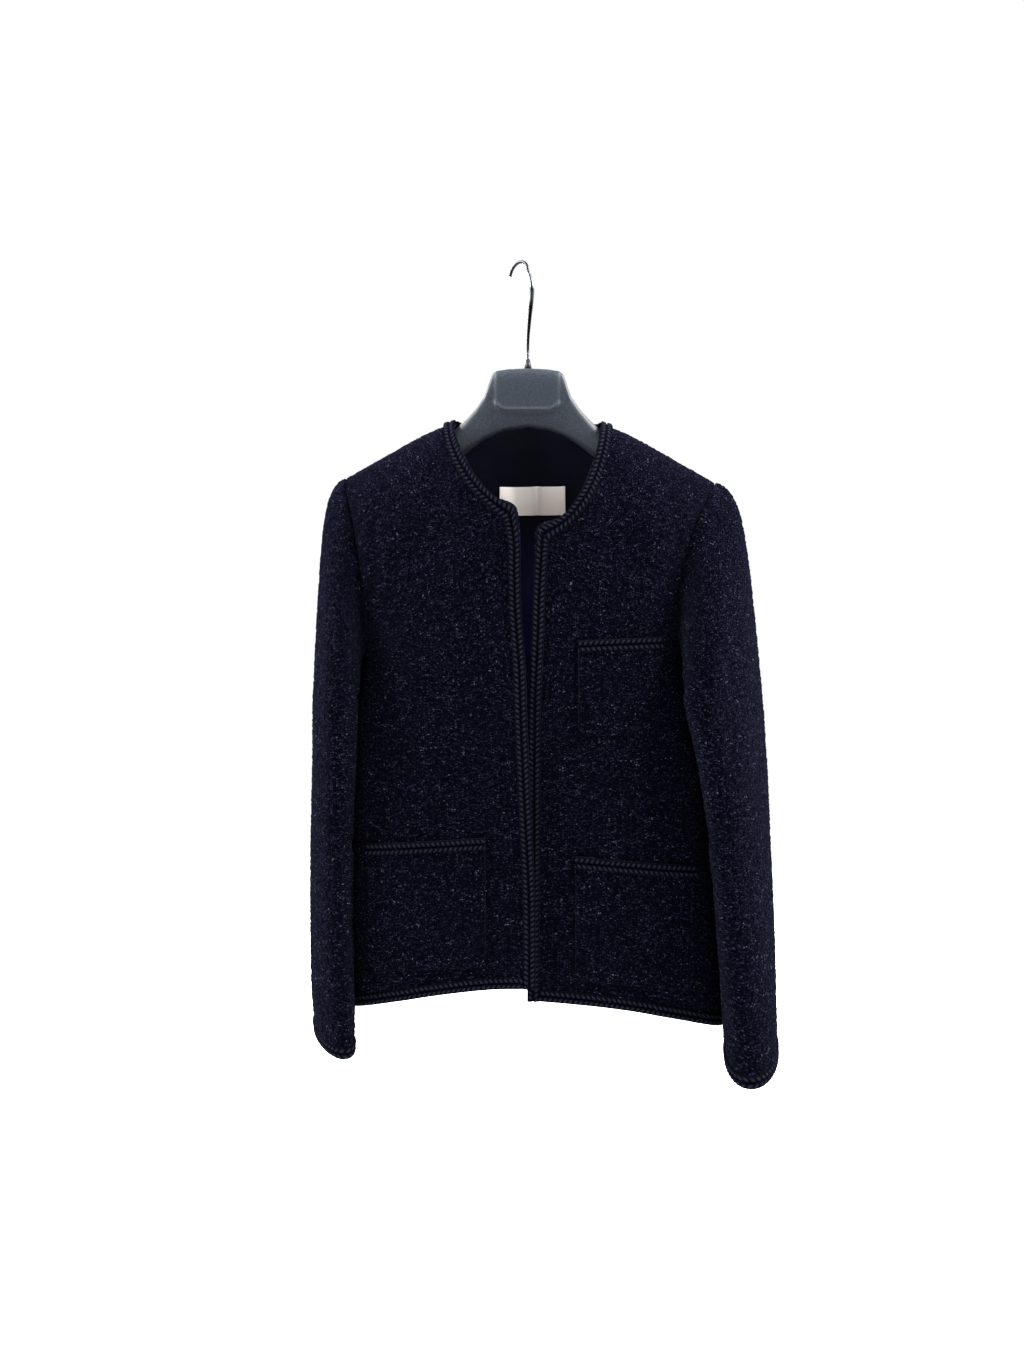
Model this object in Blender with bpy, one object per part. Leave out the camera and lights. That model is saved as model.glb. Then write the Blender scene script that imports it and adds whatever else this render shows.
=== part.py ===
"""Collarless cropped tweed jacket hanging open on a broad moulded hanger.

Lengths are in millimetres here and become metres when a mesh is made.
+Z is up, the front faces -Y and +X is the right as seen from the front.
Shapes are worked out about the hook's stem (x = 0, y = 0), with z = 0 at the
height of the seat inside the hook; SEAT then moves that seat to the origin.
"""
import math

import bmesh
import bpy
import numpy as np

# ---------------------------------------------------------------- cloth and seams
CLOTH = 3.0             # wall of tweed with its lining
LINING = 1.0
SEAM = 0.3              # space between two pieces
BRAID_WIDTH = 12.0
BRAID_HEIGHT = 2.2
POCKET_CLOTH = 2.4
POCKET_SEAM = 0.45      # a pocket lies a little looser than braid
LABEL_CLOTH = 0.8

# ---------------------------------------------------------------- grid sizes
SIDE_ROWS = 10          # hem to underarm
ARM_ROWS = 11           # underarm to shoulder tip
NECK_ROWS = 6           # front neck corner to shoulder
FRONT_COLUMNS = 10
BACK_OUTER_COLUMNS = 8  # side seam to neck point
BACK_NECK_COLUMNS = 8   # across the back neck
CAP_STEPS = (0.0, 0.06, 0.14, 0.25, 0.4, 0.58, 0.78, 1.0)
SLEEVE_ROWS = 9         # bicep to cuff braid
ROWS = SIDE_ROWS + ARM_ROWS
CORNER_ROW = ROWS - NECK_ROWS

# ---------------------------------------------------------------- body
ROLL = 0.03             # the hanger hangs 1.7 degrees lower on the right
SQUARENESS = 3.0        # exponent of the body's level sections
NECK_HALF = 75.0
UNDERARM_Z = -415.0
TIP_X = 189.5           # shoulder tip
BACK_NECK_RISE = 16.0   # the back neck stands above the neck points

RIDGE = {"x": (0, 37, 53, 69, 75, 81, 95, 118, 150, 190, 205),
         "z": (-117, -133, -144, -160.7, -167.5, -170.3, -176, -187.2, -205, -227.5, -236.5)}
ROLL_HEIGHT = {"front": (150.0, 90.0), "back": (100.0, 88.0)}   # at the neck, at the tip

BODY = {"z": (-778, -727, -668, -609, -565, -522, -481, -445, -415, -330, -225),
        "left": (182, 182, 181.5, 181, 180, 179, 178, 175, 168, 182, 199),
        "right": (197.5, 196, 192, 186.5, 182.5, 176, 169, 162, 158, 172, 197),
        "front": (54, 55.5, 57.5, 60, 61, 62, 62, 62, 62, 60, 60),
        "back": (48, 49.5, 52, 54.5, 56, 57, 58, 58, 58, 57, 56)}

ARMHOLE = {"z": (-415, -402, -385, -350, -310, -275, -250, -225),
           "left": (168, 162.5, 161, 164.5, 169, 175, 182, 190),
           "right": (158, 152.5, 150.5, 152, 157, 166, 177, 190)}

FRONT_EDGE = {"z": (-750, -630, -565, -500, -453, -415, -375, -333, -292, -260),
              "left": (11.5, 11, 8, 5.2, 3.3, 1.9, -1.6, -2.9, -3.8, -7.5),
              "right": (2.8, 3.6, 4.2, 4.6, 5.2, 7.1, 8.6, 10, 12.6, 12.8)}

# hem at the front edge and at the side seam, neck corner, and how full the neckline's curve is
FRONTS = {
    "left": {"sign": -1, "hem_front": -733.5, "hem_side": -767.0, "hem_bend": 1.7,
             "corner": (-7.5, -264.4), "neck_power": 1.52},
    "right": {"sign": 1, "hem_front": -747.5, "hem_side": -777.0, "hem_bend": 2.2,
              "corner": (12.8, -284.8), "neck_power": 1.85},
}
BACK_HEM = -752.0

# the left front lies over the right one: each edge leaves the shared surface
OVERLAP = {"left": -3.4, "right": 2.9}
OVERLAP_REACH = 55.0
OVERLAP_TOP = (-380.0, -468.0)

# soft hollows and swells: from a top point to a bottom point, half width, height (out is +)
FOLDS = {
    "front": ({"top": (-94, -222), "bottom": (-86, -318), "wide": 22, "high": -4.0},
              {"top": (-60, -300), "bottom": (-70, -430), "wide": 28, "high": 2.5},
              {"top": (84, -212), "bottom": (98, -322), "wide": 21, "high": -4.5},
              {"top": (124, -250), "bottom": (118, -380), "wide": 24, "high": 2.5},
              {"top": (-128, -430), "bottom": (-122, -560), "wide": 18, "high": -3.0},
              {"top": (30, -560), "bottom": (26, -760), "wide": 18, "high": -2.5},
              {"top": (-20, -600), "bottom": (-24, -760), "wide": 16, "high": -2.0}),
    "back": ({"top": (-70, -215), "bottom": (-88, -420), "wide": 24, "high": -4.5},
             {"top": (72, -215), "bottom": (90, -430), "wide": 24, "high": -4.0},
             {"top": (0, -330), "bottom": (6, -760), "wide": 30, "high": -3.0},
             {"top": (-58, -560), "bottom": (-64, -765), "wide": 24, "high": 3.0},
             {"top": (70, -540), "bottom": (78, -765), "wide": 24, "high": 3.0}),
}

# ---------------------------------------------------------------- sleeves
SLEEVES = {
    "left": {"z": (-803, -791, -690, -600, -520, -455),
             "centre": (199.5, 200, 202.5, 202, 199.5, 197),
             "forward": (14, 14, 12, 8, 5, 4),
             "half_across": (15.5, 16.5, 19.6, 22, 24, 26),
             "half_deep": (49, 50, 55, 59, 63, 66),
             "turn": (28, 28, 24, 20, 17, 14)},
    "right": {"z": (-794, -782, -690, -600, -520, -455),
              "centre": (219, 218.6, 216, 211.4, 205.6, 197),
              "forward": (51, 50, 42, 32, 24, 20),
              "half_across": (23, 23.5, 23.5, 24, 25.7, 29.5),
              "half_deep": (49, 50, 54, 58, 62, 65),
              "turn": (10, 11, 20, 24, 27, 30)},
}
CAP_FULLNESS = {"left": 0.6, "right": 0.68}
SLEEVE_CLEAR = 3.2      # between sleeve and body below the underarm
CUFF_TILT = {"left": 5.0, "right": 14.0}   # the cuff is lower in front
CREASE_HALF_ANGLE = 0.7     # radians
CREASES = {             # height, angle from the outer side (90 is the front), depth, half height
    "left": ((-520, 60, 2.5, 16), (-560, 105, 3.0, 14), (-610, 50, 2.5, 18)),
    "right": ((-505, 70, 2.5, 16), (-548, 115, 3.0, 14), (-600, 60, 3.0, 18)),
}

# ---------------------------------------------------------------- pockets, label and lining
# inner and outer x, height of the top at each, depth
POCKETS = {
    "pocket_chest": {"side": "right", "x": (53, 132), "top": (-395, -391), "depth": 93},
    "pocket_lower_left": {"side": "left", "x": (-37, -157), "top": (-586, -596), "depth": 128},
    "pocket_lower_right": {"side": "right", "x": (50, 165), "top": (-603, -613), "depth": 122},
}
POCKET_CORNER = 12.0
POCKET_ROWS = 6
LABEL_ROWS = 5
LABEL = {"x": (-34.5, 37.0), "z": (-255.0, -224.0)}
LINING_FLOOR = -445.0

# ---------------------------------------------------------------- hanger
HANGER = {"x": (0, 20, 32, 36, 38.5, 41, 44.5, 54, 64, 74, 86, 105, 140, 171, 176, 178.5),
          "top": (-112.5, -113.4, -115.2, -118, -123, -131, -141, -155, -165.5, -174.5,
                  -181, -187.6, -206.3, -224.3, -228.2, -232),
          "bottom": (-171.9, -174.6, -178.8, -180.6, -181.8, -183.2, -185.2, -191.4, -199, -207, -214,
                     -220.5, -233, -243.5, -242.5, -239),
          "half": (9, 9, 9, 9, 9, 9.2, 9.6, 10.5, 11.5, 12.5, 14, 15.5, 16, 13.5, 11, 6)}
HANGER_SIDES = 14
FERRULE = {"foot": 3.9, "top": 3.0, "height": 6.2}
COLLAR_RADIUS = 2.4
COLLAR_HEIGHT = 6.5
WIRE = 3.2
LOOP_RADIUS = 13.6      # hook's loop, at the middle of the wire
LOOP_CENTRE = -13.6     # from the stem, in the hook's own plane
LOOP_END = 168.0        # degrees, where the loop's free end stops
HOOK_TURN = math.radians(42.0)
STEM_LEAN = {"z": (-104, -92, -78, -58, -38, -27, -17),
             "out": (-0.4, -0.3, 0.3, 2.8, 5.4, 5.2, 2.2)}   # from the stem's line, in the hook's plane

# the seat under the loop's top, told from the stem
SEAT = np.array((LOOP_CENTRE * math.cos(HOOK_TURN), -LOOP_CENTRE * math.sin(HOOK_TURN), 0.0))

# ---------------------------------------------------------------- materials: colour, roughness, metallic
FINISHES = {"tweed": ((0.012, 0.014, 0.030, 1), 0.95, 0.0),
            "braid": ((0.009, 0.010, 0.020, 1), 0.75, 0.0),
            "lining": ((0.006, 0.007, 0.022, 1), 0.35, 0.0),
            "label": ((0.60, 0.56, 0.50, 1), 0.6, 0.0),
            "plastic": ((0.055, 0.068, 0.088, 1), 0.5, 0.0),
            "chrome": ((0.45, 0.45, 0.46, 1), 0.2, 1.0)}


def curve_through(value, knots, results):
    """A smooth curve through a table's rows: cubic spans with central slopes, held flat past the ends."""
    knots = np.asarray(knots, float)
    results = np.asarray(results, float)
    slopes = np.gradient(results, knots)
    value = np.clip(value, knots[0], knots[-1])
    span = np.clip(np.searchsorted(knots, value) - 1, 0, len(knots) - 2)
    length = knots[span + 1] - knots[span]
    t = (value - knots[span]) / length
    return ((2 * t**3 - 3 * t**2 + 1) * results[span] + (t**3 - 2 * t**2 + t) * length * slopes[span]
            + (3 * t**2 - 2 * t**3) * results[span + 1] + (t**3 - t**2) * length * slopes[span + 1])


def smoothstep(value, start, end):
    t = np.clip((value - start) / (end - start), 0.0, 1.0)
    return t * t * (3 - 2 * t)


def unit(vectors):
    return vectors / np.maximum(np.linalg.norm(vectors, axis=-1, keepdims=True), 1e-9)


def evenly(points, count):
    """Places along a fine polyline, as fractions of its index, that cut it into equal lengths."""
    steps = np.linalg.norm(np.diff(points, axis=0), axis=1)
    travelled = np.concatenate(([0.0], np.cumsum(steps)))
    return np.interp(np.linspace(0, travelled[-1], count + 1), travelled, np.linspace(0, 1, len(points)))


# ---------------------------------------------------------------- the body's surface
def ridge(x):
    """Height of the shoulder line over x."""
    return curve_through(np.abs(x), RIDGE["x"], RIDGE["z"]) - ROLL * x


def roll_height(x, face):
    """How far below the shoulder line the cloth has turned from level to upright."""
    at_neck, at_tip = ROLL_HEIGHT[face]
    return at_neck + (at_tip - at_neck) * smoothstep(np.abs(x), NECK_HALF, TIP_X)


def half_width(x, z):
    left = curve_through(z, BODY["z"], BODY["left"])
    right = curve_through(z, BODY["z"], BODY["right"])
    return np.where(x < 0, left, right)


def fold_height(x, z, face):
    total = np.zeros(np.broadcast(x, z).shape)
    for fold in FOLDS[face]:
        top, bottom = np.array(fold["top"], float), np.array(fold["bottom"], float)
        along = (bottom - top) / np.linalg.norm(bottom - top)
        reach = np.linalg.norm(bottom - top)
        run = (x - top[0]) * along[0] + (z - top[1]) * along[1]
        aside = (x - top[0]) * along[1] - (z - top[1]) * along[0]
        start = smoothstep(run, -0.25 * reach, 0.25 * reach)
        end = 1 - smoothstep(run, 0.75 * reach, 1.25 * reach)
        total = total + fold["high"] * start * end * np.exp(-(aside / fold["wide"])**2)
    return total


def overlap_shift(x, z, side):
    """How far a front's edge leaves the shared surface where the fronts lie on each other."""
    sign = FRONTS[side]["sign"]
    across = 1 - smoothstep(sign * x, 0.0, OVERLAP_REACH)
    return OVERLAP[side] * across * smoothstep(-z, -OVERLAP_TOP[0], -OVERLAP_TOP[1])


def roll_arc(x, face):
    return math.pi / 2 * np.sqrt((roll_height(x, face)**2 + 60.0**2) / 2)


def body_surface(x, down, face, side=None):
    """A point of the body: x, and the way down over the cloth from the shoulder line.

    The section over x is a quarter ellipse from the shoulder line, then a plumb
    wall; a level section is a superellipse from the centre to the side seam.
    """
    x, down = np.broadcast_arrays(np.asarray(x, float), np.asarray(down, float))
    height = roll_height(x, face)
    arc = roll_arc(x, face)
    turn = np.clip(down / arc, 0.0, 1.0) * math.pi / 2
    z = ridge(x) - height * (1 - np.cos(turn)) - np.maximum(down - arc, 0.0)
    ratio = np.clip(np.abs(x) / half_width(x, z), 0.0, 1.0)
    section = (1 - ratio**SQUARENESS)**(1 / SQUARENESS)
    depth = curve_through(z, BODY["z"], BODY[face])
    y = (depth + fold_height(x, z, face)) * section * np.sin(turn)
    if face == "back":
        return np.stack((x, np.maximum(y, SEAM / 2), z), axis=-1)
    y = -y
    if side is not None:
        y = y + overlap_shift(x, z, side)
    return np.stack((x, np.minimum(y, -SEAM / 2), z), axis=-1)


def way_down(x, z, face):
    """The way down over the cloth that reaches height z at x."""
    drop = ridge(x) - z
    height = roll_height(x, face)
    arc = roll_arc(x, face)
    turn = np.arccos(np.clip(1 - drop / height, 0.0, 1.0))
    return np.where(drop < height, turn * 2 / math.pi * arc, arc + drop - height)


def slide_across(x, down, face, side, away, distance):
    """Move border points a distance over the cloth, square to the border, towards the side 'away'."""
    steps = 3
    for _ in range(steps):
        here = body_surface(x, down, face, side)
        along = unit(np.gradient(here, axis=0))
        by_x = (body_surface(x + 0.5, down, face, side) - body_surface(x - 0.5, down, face, side))
        by_down = (body_surface(x, down + 1.0, face, side) - here)
        normal = unit(np.cross(by_x, by_down))
        across = unit(np.cross(normal, along))
        across = across * np.sign(np.sum(across * away, axis=-1, keepdims=True))
        for k in range(len(x)):
            shift = np.linalg.lstsq(np.stack((by_x[k], by_down[k]), axis=1),
                                    across[k] * distance / steps, rcond=None)[0]
            x[k] += shift[0]
            down[k] += shift[1]
    return x, down


def armhole_points(side, face):
    """x and way down of the armhole's points, from the underarm to the shoulder tip, evenly spaced."""
    sign = FRONTS[side]["sign"]
    tip = ridge(sign * TIP_X)
    fine = np.linspace(0, 1, 400)**2
    z = UNDERARM_Z + (tip - UNDERARM_Z) * fine
    x = sign * curve_through(z, ARMHOLE["z"], ARMHOLE[side])
    x = x + (sign * TIP_X - x[-1]) * smoothstep(z, UNDERARM_Z + 60, tip)
    down = np.maximum(way_down(x, z, face), 0.0)
    down[-1] = 0.0
    where = evenly(body_surface(x, down, face), ARM_ROWS)
    index = np.linspace(0, 1, len(z))
    return np.interp(where, index, x), np.interp(where, index, down)


# ---------------------------------------------------------------- grids of the panels
def hem_height(x, side):
    front = FRONTS[side]
    edge_x = curve_through(front["hem_front"], FRONT_EDGE["z"], FRONT_EDGE[side])
    away = np.clip(front["sign"] * (x - edge_x) / (BODY[side][0] - front["sign"] * edge_x), 0.0, 1.0)
    return front["hem_front"] + (front["hem_side"] - front["hem_front"]) * away**front["hem_bend"]


def outer_border(side, face):
    """Side seam, then armhole: x and way down, one per row."""
    sign = FRONTS[side]["sign"]
    hem = FRONTS[side]["hem_side"]
    z = np.concatenate(([hem], np.linspace(hem + BRAID_WIDTH, UNDERARM_Z, SIDE_ROWS)))
    x = sign * curve_through(z, BODY["z"], BODY[side])
    arm_x, arm_down = armhole_points(side, face)
    down = way_down(x, z, face)
    return np.concatenate((x[:-1], arm_x)), np.concatenate((down[:-1], arm_down))


def neckline(side):
    """x and way down of the front neckline from its corner to the shoulder, on a quarter superellipse."""
    front = FRONTS[side]
    sign = front["sign"]
    corner_x, corner_z = front["corner"]
    top = ridge(sign * NECK_HALF)
    angle = np.linspace(0, math.pi / 2, 300)
    x = corner_x + (sign * NECK_HALF - corner_x) * np.sin(angle)**(2 / front["neck_power"])
    z = top + (corner_z - top) * np.cos(angle)**(2 / front["neck_power"])
    down = np.maximum(way_down(x, z, "front"), 0.0)
    down[-1] = 0.0
    where = evenly(body_surface(x, down, "front"), NECK_ROWS)
    index = np.linspace(0, 1, len(x))
    return np.interp(where, index, x), np.interp(where, index, down)


def front_grid(side):
    """Outer points of a front, row by row from hem to shoulder, column by column from the front edge."""
    front = FRONTS[side]
    sign = front["sign"]
    edge_z = np.concatenate(([front["hem_front"]],
                             np.linspace(front["hem_front"] + BRAID_WIDTH, front["corner"][1], CORNER_ROW)))
    edge_x = curve_through(edge_z, FRONT_EDGE["z"], FRONT_EDGE[side])
    edge_x[-1] = front["corner"][0]
    neck_x, neck_down = neckline(side)
    inner_x = np.concatenate((edge_x[:-1], neck_x))
    inner_down = np.concatenate((way_down(edge_x, edge_z, "front")[:-1], neck_down))

    # second column: a braid's width in from the front edge and the neckline, mitred at the corner
    second_x = inner_x + sign * BRAID_WIDTH
    second_down = way_down(second_x, body_surface(inner_x, inner_down, "front")[:, 2], "front")
    moved_x, moved_down = slide_across(neck_x.copy(), neck_down.copy(), "front", side,
                                       np.array((sign, 0.0, -0.6)), BRAID_WIDTH)
    second_x[CORNER_ROW + 1:] = moved_x[1:]
    second_down[CORNER_ROW + 1:] = moved_down[1:]
    second_x[-1] = sign * (NECK_HALF + BRAID_WIDTH)
    second_down[-1] = 0.0
    corner_z = front["corner"][1]
    second_down[CORNER_ROW] = way_down(second_x[CORNER_ROW], corner_z - BRAID_WIDTH * 1.15, "front")

    outer_x, outer_down = outer_border(side, "front")
    share = np.sin(np.arange(FRONT_COLUMNS) / (FRONT_COLUMNS - 1) * math.pi / 2)
    share = np.concatenate(([0.0], share))
    second = body_surface(second_x, second_down, "front")
    outer = body_surface(outer_x, outer_down, "front")
    grid = np.empty((ROWS + 1, FRONT_COLUMNS + 1, 3))
    for row in range(ROWS + 1):
        x = second_x[row] + (outer_x[row] - second_x[row]) * share
        by_height = way_down(x, second[row, 2] + (outer[row, 2] - second[row, 2]) * share, "front")
        by_way = second_down[row] + (outer_down[row] - second_down[row]) * share
        mix = smoothstep(row, CORNER_ROW - 1, ROWS - 2)
        down = by_height * (1 - mix) + by_way * mix
        if row <= 1:
            down = way_down(x, hem_height(x, side) + row * BRAID_WIDTH, "front")
        x[0], down[0] = inner_x[row], inner_down[row]
        grid[row] = body_surface(x, down, "front", side)
    return relax_rows(grid, side)


def relax_rows(grid, side):
    """Carry the hem's curve upward, fading out by the underarm, so that the rows stay even."""
    x = grid[1, 1:, 0]
    straight = grid[1, 1, 2] + (grid[1, -1, 2] - grid[1, 1, 2]) * (x - x[0]) / (x[-1] - x[0])
    bend = grid[1, 1:, 2] - straight
    for row in range(2, SIDE_ROWS):
        z = grid[row, 1:, 2] + bend * (1 - row / SIDE_ROWS)
        down = way_down(grid[row, 1:, 0], z, "front")
        grid[row, 1:] = body_surface(grid[row, 1:, 0], down, "front", side)
    return grid


def back_neck(x):
    """Height of the back neck's edge: a low arch between the neck points."""
    rise = BACK_NECK_RISE * (1 - (np.clip(x / NECK_HALF, -1, 1))**2)
    return ridge(NECK_HALF * np.sign(x + 1e-9)) + rise + ROLL * (NECK_HALF * np.sign(x) - x)


def back_grid():
    """Outer points of the back, rows from hem to shoulders, columns from the left side to the right."""
    left_x, left_down = outer_border("left", "back")
    right_x, right_down = outer_border("right", "back")
    share = np.sin(np.arange(BACK_OUTER_COLUMNS) / (BACK_OUTER_COLUMNS - 1) * math.pi / 2)
    beside = NECK_HALF + BRAID_WIDTH
    neck = np.sin(np.linspace(-1, 1, BACK_NECK_COLUMNS + 1) * math.pi / 2) * NECK_HALF
    grid = np.empty((ROWS + 1, 2 * BACK_OUTER_COLUMNS + BACK_NECK_COLUMNS + 1, 3))
    braid_share = BRAID_WIDTH / way_down(NECK_HALF, UNDERARM_Z, "back")
    arm_shares = np.concatenate((np.linspace(1, braid_share, ARM_ROWS), [0.0]))
    for row in range(ROWS + 1):
        x = np.concatenate((-beside + (left_x[row] + beside) * share[::-1], neck,
                            beside + (right_x[row] - beside) * share))
        span = (x - x[0]) / (x[-1] - x[0])
        ends = np.array((body_surface(left_x[row], left_down[row], "back")[2],
                         body_surface(right_x[row], right_down[row], "back")[2]))
        if row < SIDE_ROWS:
            level = BACK_HEM + (UNDERARM_Z - BACK_HEM) * (0 if row == 0 else (row - 1) / (SIDE_ROWS - 1))
            level += BRAID_WIDTH * (row > 0) * (1 - (row - 1) / (SIDE_ROWS - 1))
            arch = 1 - np.abs(2 * span - 1)**2.2
            z = (ends[0] + (ends[1] - ends[0]) * span) * (1 - arch) + level * arch
            down = way_down(x, z, "back")
        else:
            top = np.where(np.abs(x) < NECK_HALF, way_down(x, back_neck(x), "back"), 0.0)
            base = way_down(x, np.full(len(x), UNDERARM_Z), "back")
            near = smoothstep(np.abs(x), NECK_HALF, np.where(x < 0, -left_x[row], right_x[row]))
            first = SIDE_ROWS
            edge_share = np.where(x < 0, left_down[row] / left_down[first],
                                  right_down[row] / right_down[first])
            part = arm_shares[row - first] * (1 - near) + edge_share * near
            down = top + part * (base - top)
            down[0], down[-1] = left_down[row], right_down[row]
        grid[row] = body_surface(x, down, "back")
    return grid


def grid_normals(grid, outward, closed=False):
    """Unit normals of a grid of points, turned to the outer side."""
    if closed:
        by_column = np.roll(grid, -1, axis=1) - np.roll(grid, 1, axis=1)
    else:
        by_column = np.gradient(grid, axis=1)
    normals = unit(np.cross(by_column, np.gradient(grid, axis=0)))
    return normals * np.sign(np.sum(normals * outward, axis=-1, keepdims=True).sum())


def armhole_inward(points, aside):
    """Wall directions along an armhole: towards its middle, turning sideways where the cloth hangs plumb."""
    middle = np.array((0.0, 0.0, (points[:, 2].min() + points[:, 2].max()) / 2))
    inward = middle - points
    inward[:, 0] = 0.0
    inward = unit(inward)
    plumb = smoothstep(inward[:, 2], 0.2, 0.95)[:, None]
    return unit(inward * (1 - plumb) + np.array((aside, 0.0, 0.0)) * plumb)


# ---------------------------------------------------------------- meshes
def make_object(name, points, faces, finish):
    """A closed mesh of millimetre points about the stem, in metres about the seat, faces turned out."""
    mesh = bpy.data.meshes.new(name)
    mesh.from_pydata([tuple(p) for p in (np.asarray(points) - SEAT) / 1000], [], faces)
    shape = bmesh.new()
    shape.from_mesh(mesh)
    bmesh.ops.recalc_face_normals(shape, faces=shape.faces)
    if shape.calc_volume(signed=True) < 0:
        bmesh.ops.reverse_faces(shape, faces=shape.faces)
    shape.to_mesh(mesh)
    shape.free()
    mesh.shade_smooth()
    mesh.set_sharp_from_angle(angle=math.radians(50))
    mesh.materials.append(material(finish))
    thing = bpy.data.objects.new(name, mesh)
    bpy.context.collection.objects.link(thing)
    return thing


def material(finish):
    if finish in bpy.data.materials:
        return bpy.data.materials[finish]
    colour, roughness, metallic = FINISHES[finish]
    made = bpy.data.materials.new(finish)
    made.use_nodes = True
    shader = made.node_tree.nodes["Principled BSDF"]
    shader.inputs["Base Color"].default_value = colour
    shader.inputs["Roughness"].default_value = roughness
    shader.inputs["Metallic"].default_value = metallic
    return made


def quad_triangles(a, b, c, d):
    """Two triangles of the quad a b c d, cut from a to c."""
    return [(a, b, c), (a, c, d)]


def cut_short(points, a, b, c, d):
    """Two triangles of the quad a b c d, cut along its shorter diagonal."""
    one, two = points[c] - points[a], points[d] - points[b]
    return quad_triangles(b, c, d, a) if two @ two < one @ one else quad_triangles(a, b, c, d)


def wall(name, outer, inner, finish, closed=False):
    """A wall between two matching grids of points; 'closed' joins the last column to the first."""
    rows, columns = outer.shape[:2]
    points = np.concatenate((outer.reshape(-1, 3), inner.reshape(-1, 3)))
    shift = rows * columns

    def at(row, column, layer=0):
        return row * columns + column % columns + layer * shift

    faces = []
    last = columns if closed else columns - 1
    for row in range(rows - 1):
        for column in range(last):
            cell = cut_short(points, at(row, column), at(row, column + 1),
                             at(row + 1, column + 1), at(row + 1, column))
            faces += cell
            faces += [tuple(shift + k for k in triangle[::-1]) for triangle in cell]
    rims = [[at(row, column) for column in range(last + 1)] for row in (0, rows - 1)]
    if not closed:
        rims += [[at(row, column) for row in range(rows)] for column in (0, columns - 1)]
    for rim in rims:
        for here, there in zip(rim, rim[1:]):
            faces += quad_triangles(here, there, there + shift, here + shift)
    return make_object(name, points, faces, finish)


def braid(name, low, high, low_normal, high_normal, closed=False, gap=SEAM):
    """A strip of braid over two lines of points: two plaited rows with a groove between them."""
    profile = ((0.0, 0.0), (0.03, 0.62), (0.27, 1.0), (0.5, 0.72), (0.73, 1.0), (0.97, 0.62), (1.0, 0.0))
    count, around = len(low), len(profile)
    points = []
    for k in range(count):
        for across, rise in profile:
            normal = unit(low_normal[k] * (1 - across) + high_normal[k] * across)
            points.append(low[k] * (1 - across) + high[k] * across + normal * (gap + rise * BRAID_HEIGHT))
    faces = []
    for k in range(count if closed else count - 1):
        here, there = k * around, (k + 1) % count * around
        for j in range(around - 1):
            faces += quad_triangles(here + j, here + j + 1, there + j + 1, there + j)
        faces += cut_short(points, here, here + around - 1, there + around - 1, there)
    if not closed:
        faces.append(tuple(range(around)))
        faces.append(tuple(range((count - 1) * around, count * around)))
    return make_object(name, points, faces, "braid")


def tube(name, rings, finish):
    """A solid through matching rings of points, with flat ends."""
    count, around = rings.shape[:2]
    faces = [tuple(range(around)), tuple(range((count - 1) * around, count * around))]
    for k in range(count - 1):
        for j in range(around):
            after = (j + 1) % around
            here, there = k * around, (k + 1) * around
            faces.append((here + j, here + after, there + after, there + j))
    return make_object(name, rings.reshape(-1, 3), faces, finish)


# ---------------------------------------------------------------- sleeves
def body_side(y, z, side):
    """How far out the body's own side reaches at a depth y and height z."""
    half = curve_through(z, BODY["z"], BODY[side])
    deep = np.where(y < 0, curve_through(z, BODY["z"], BODY["front"]),
                    curve_through(z, BODY["z"], BODY["back"]))
    outline = half * (1 - np.clip(np.abs(y) / deep, 0, 1)**SQUARENESS)**(1 / SQUARENESS)
    border = curve_through(z, ARMHOLE["z"], ARMHOLE[side])
    return np.where(z > UNDERARM_Z, np.minimum(outline, border), outline)


def sleeve_ring(side, z, angles):
    """A level section: an ellipse, turned so that its front edge points inward; out and forward are +."""
    table = SLEEVES[side]
    across = curve_through(z, table["z"], table["half_across"]) * np.cos(angles)
    deep = curve_through(z, table["z"], table["half_deep"]) * np.sin(angles)
    for height, middle, depth, reach in CREASES[side]:
        aside = (angles - math.radians(middle)) / CREASE_HALF_ANGLE
        pinch = depth * math.exp(-((z - height) / reach)**2) * np.exp(-aside**2)
        across, deep = across - pinch * np.cos(angles), deep - pinch * np.sin(angles)
    turn = math.radians(curve_through(z, table["z"], table["turn"]))
    out = curve_through(z, table["z"], table["centre"]) + across * math.cos(turn) - deep * math.sin(turn)
    ahead = curve_through(z, table["z"], table["forward"])
    forward = ahead + across * math.sin(turn) + deep * math.cos(turn)
    tilt = CUFF_TILT[side] * smoothstep(-z, 560.0, 808.0) * np.sin(angles)
    return np.stack((out, -forward, z - tilt), axis=-1)


def push_off_body(points, side, clearance):
    """Keep a sleeve's points outside the body's side, with a soft turn where they come to lie on it."""
    soft = 3.0
    limit = body_side(points[:, 1], points[:, 2], side) + clearance
    over = points[:, 0] - limit
    points[:, 0] = limit + 0.5 * (over + np.sqrt(over**2 + soft**2))
    return points


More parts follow.
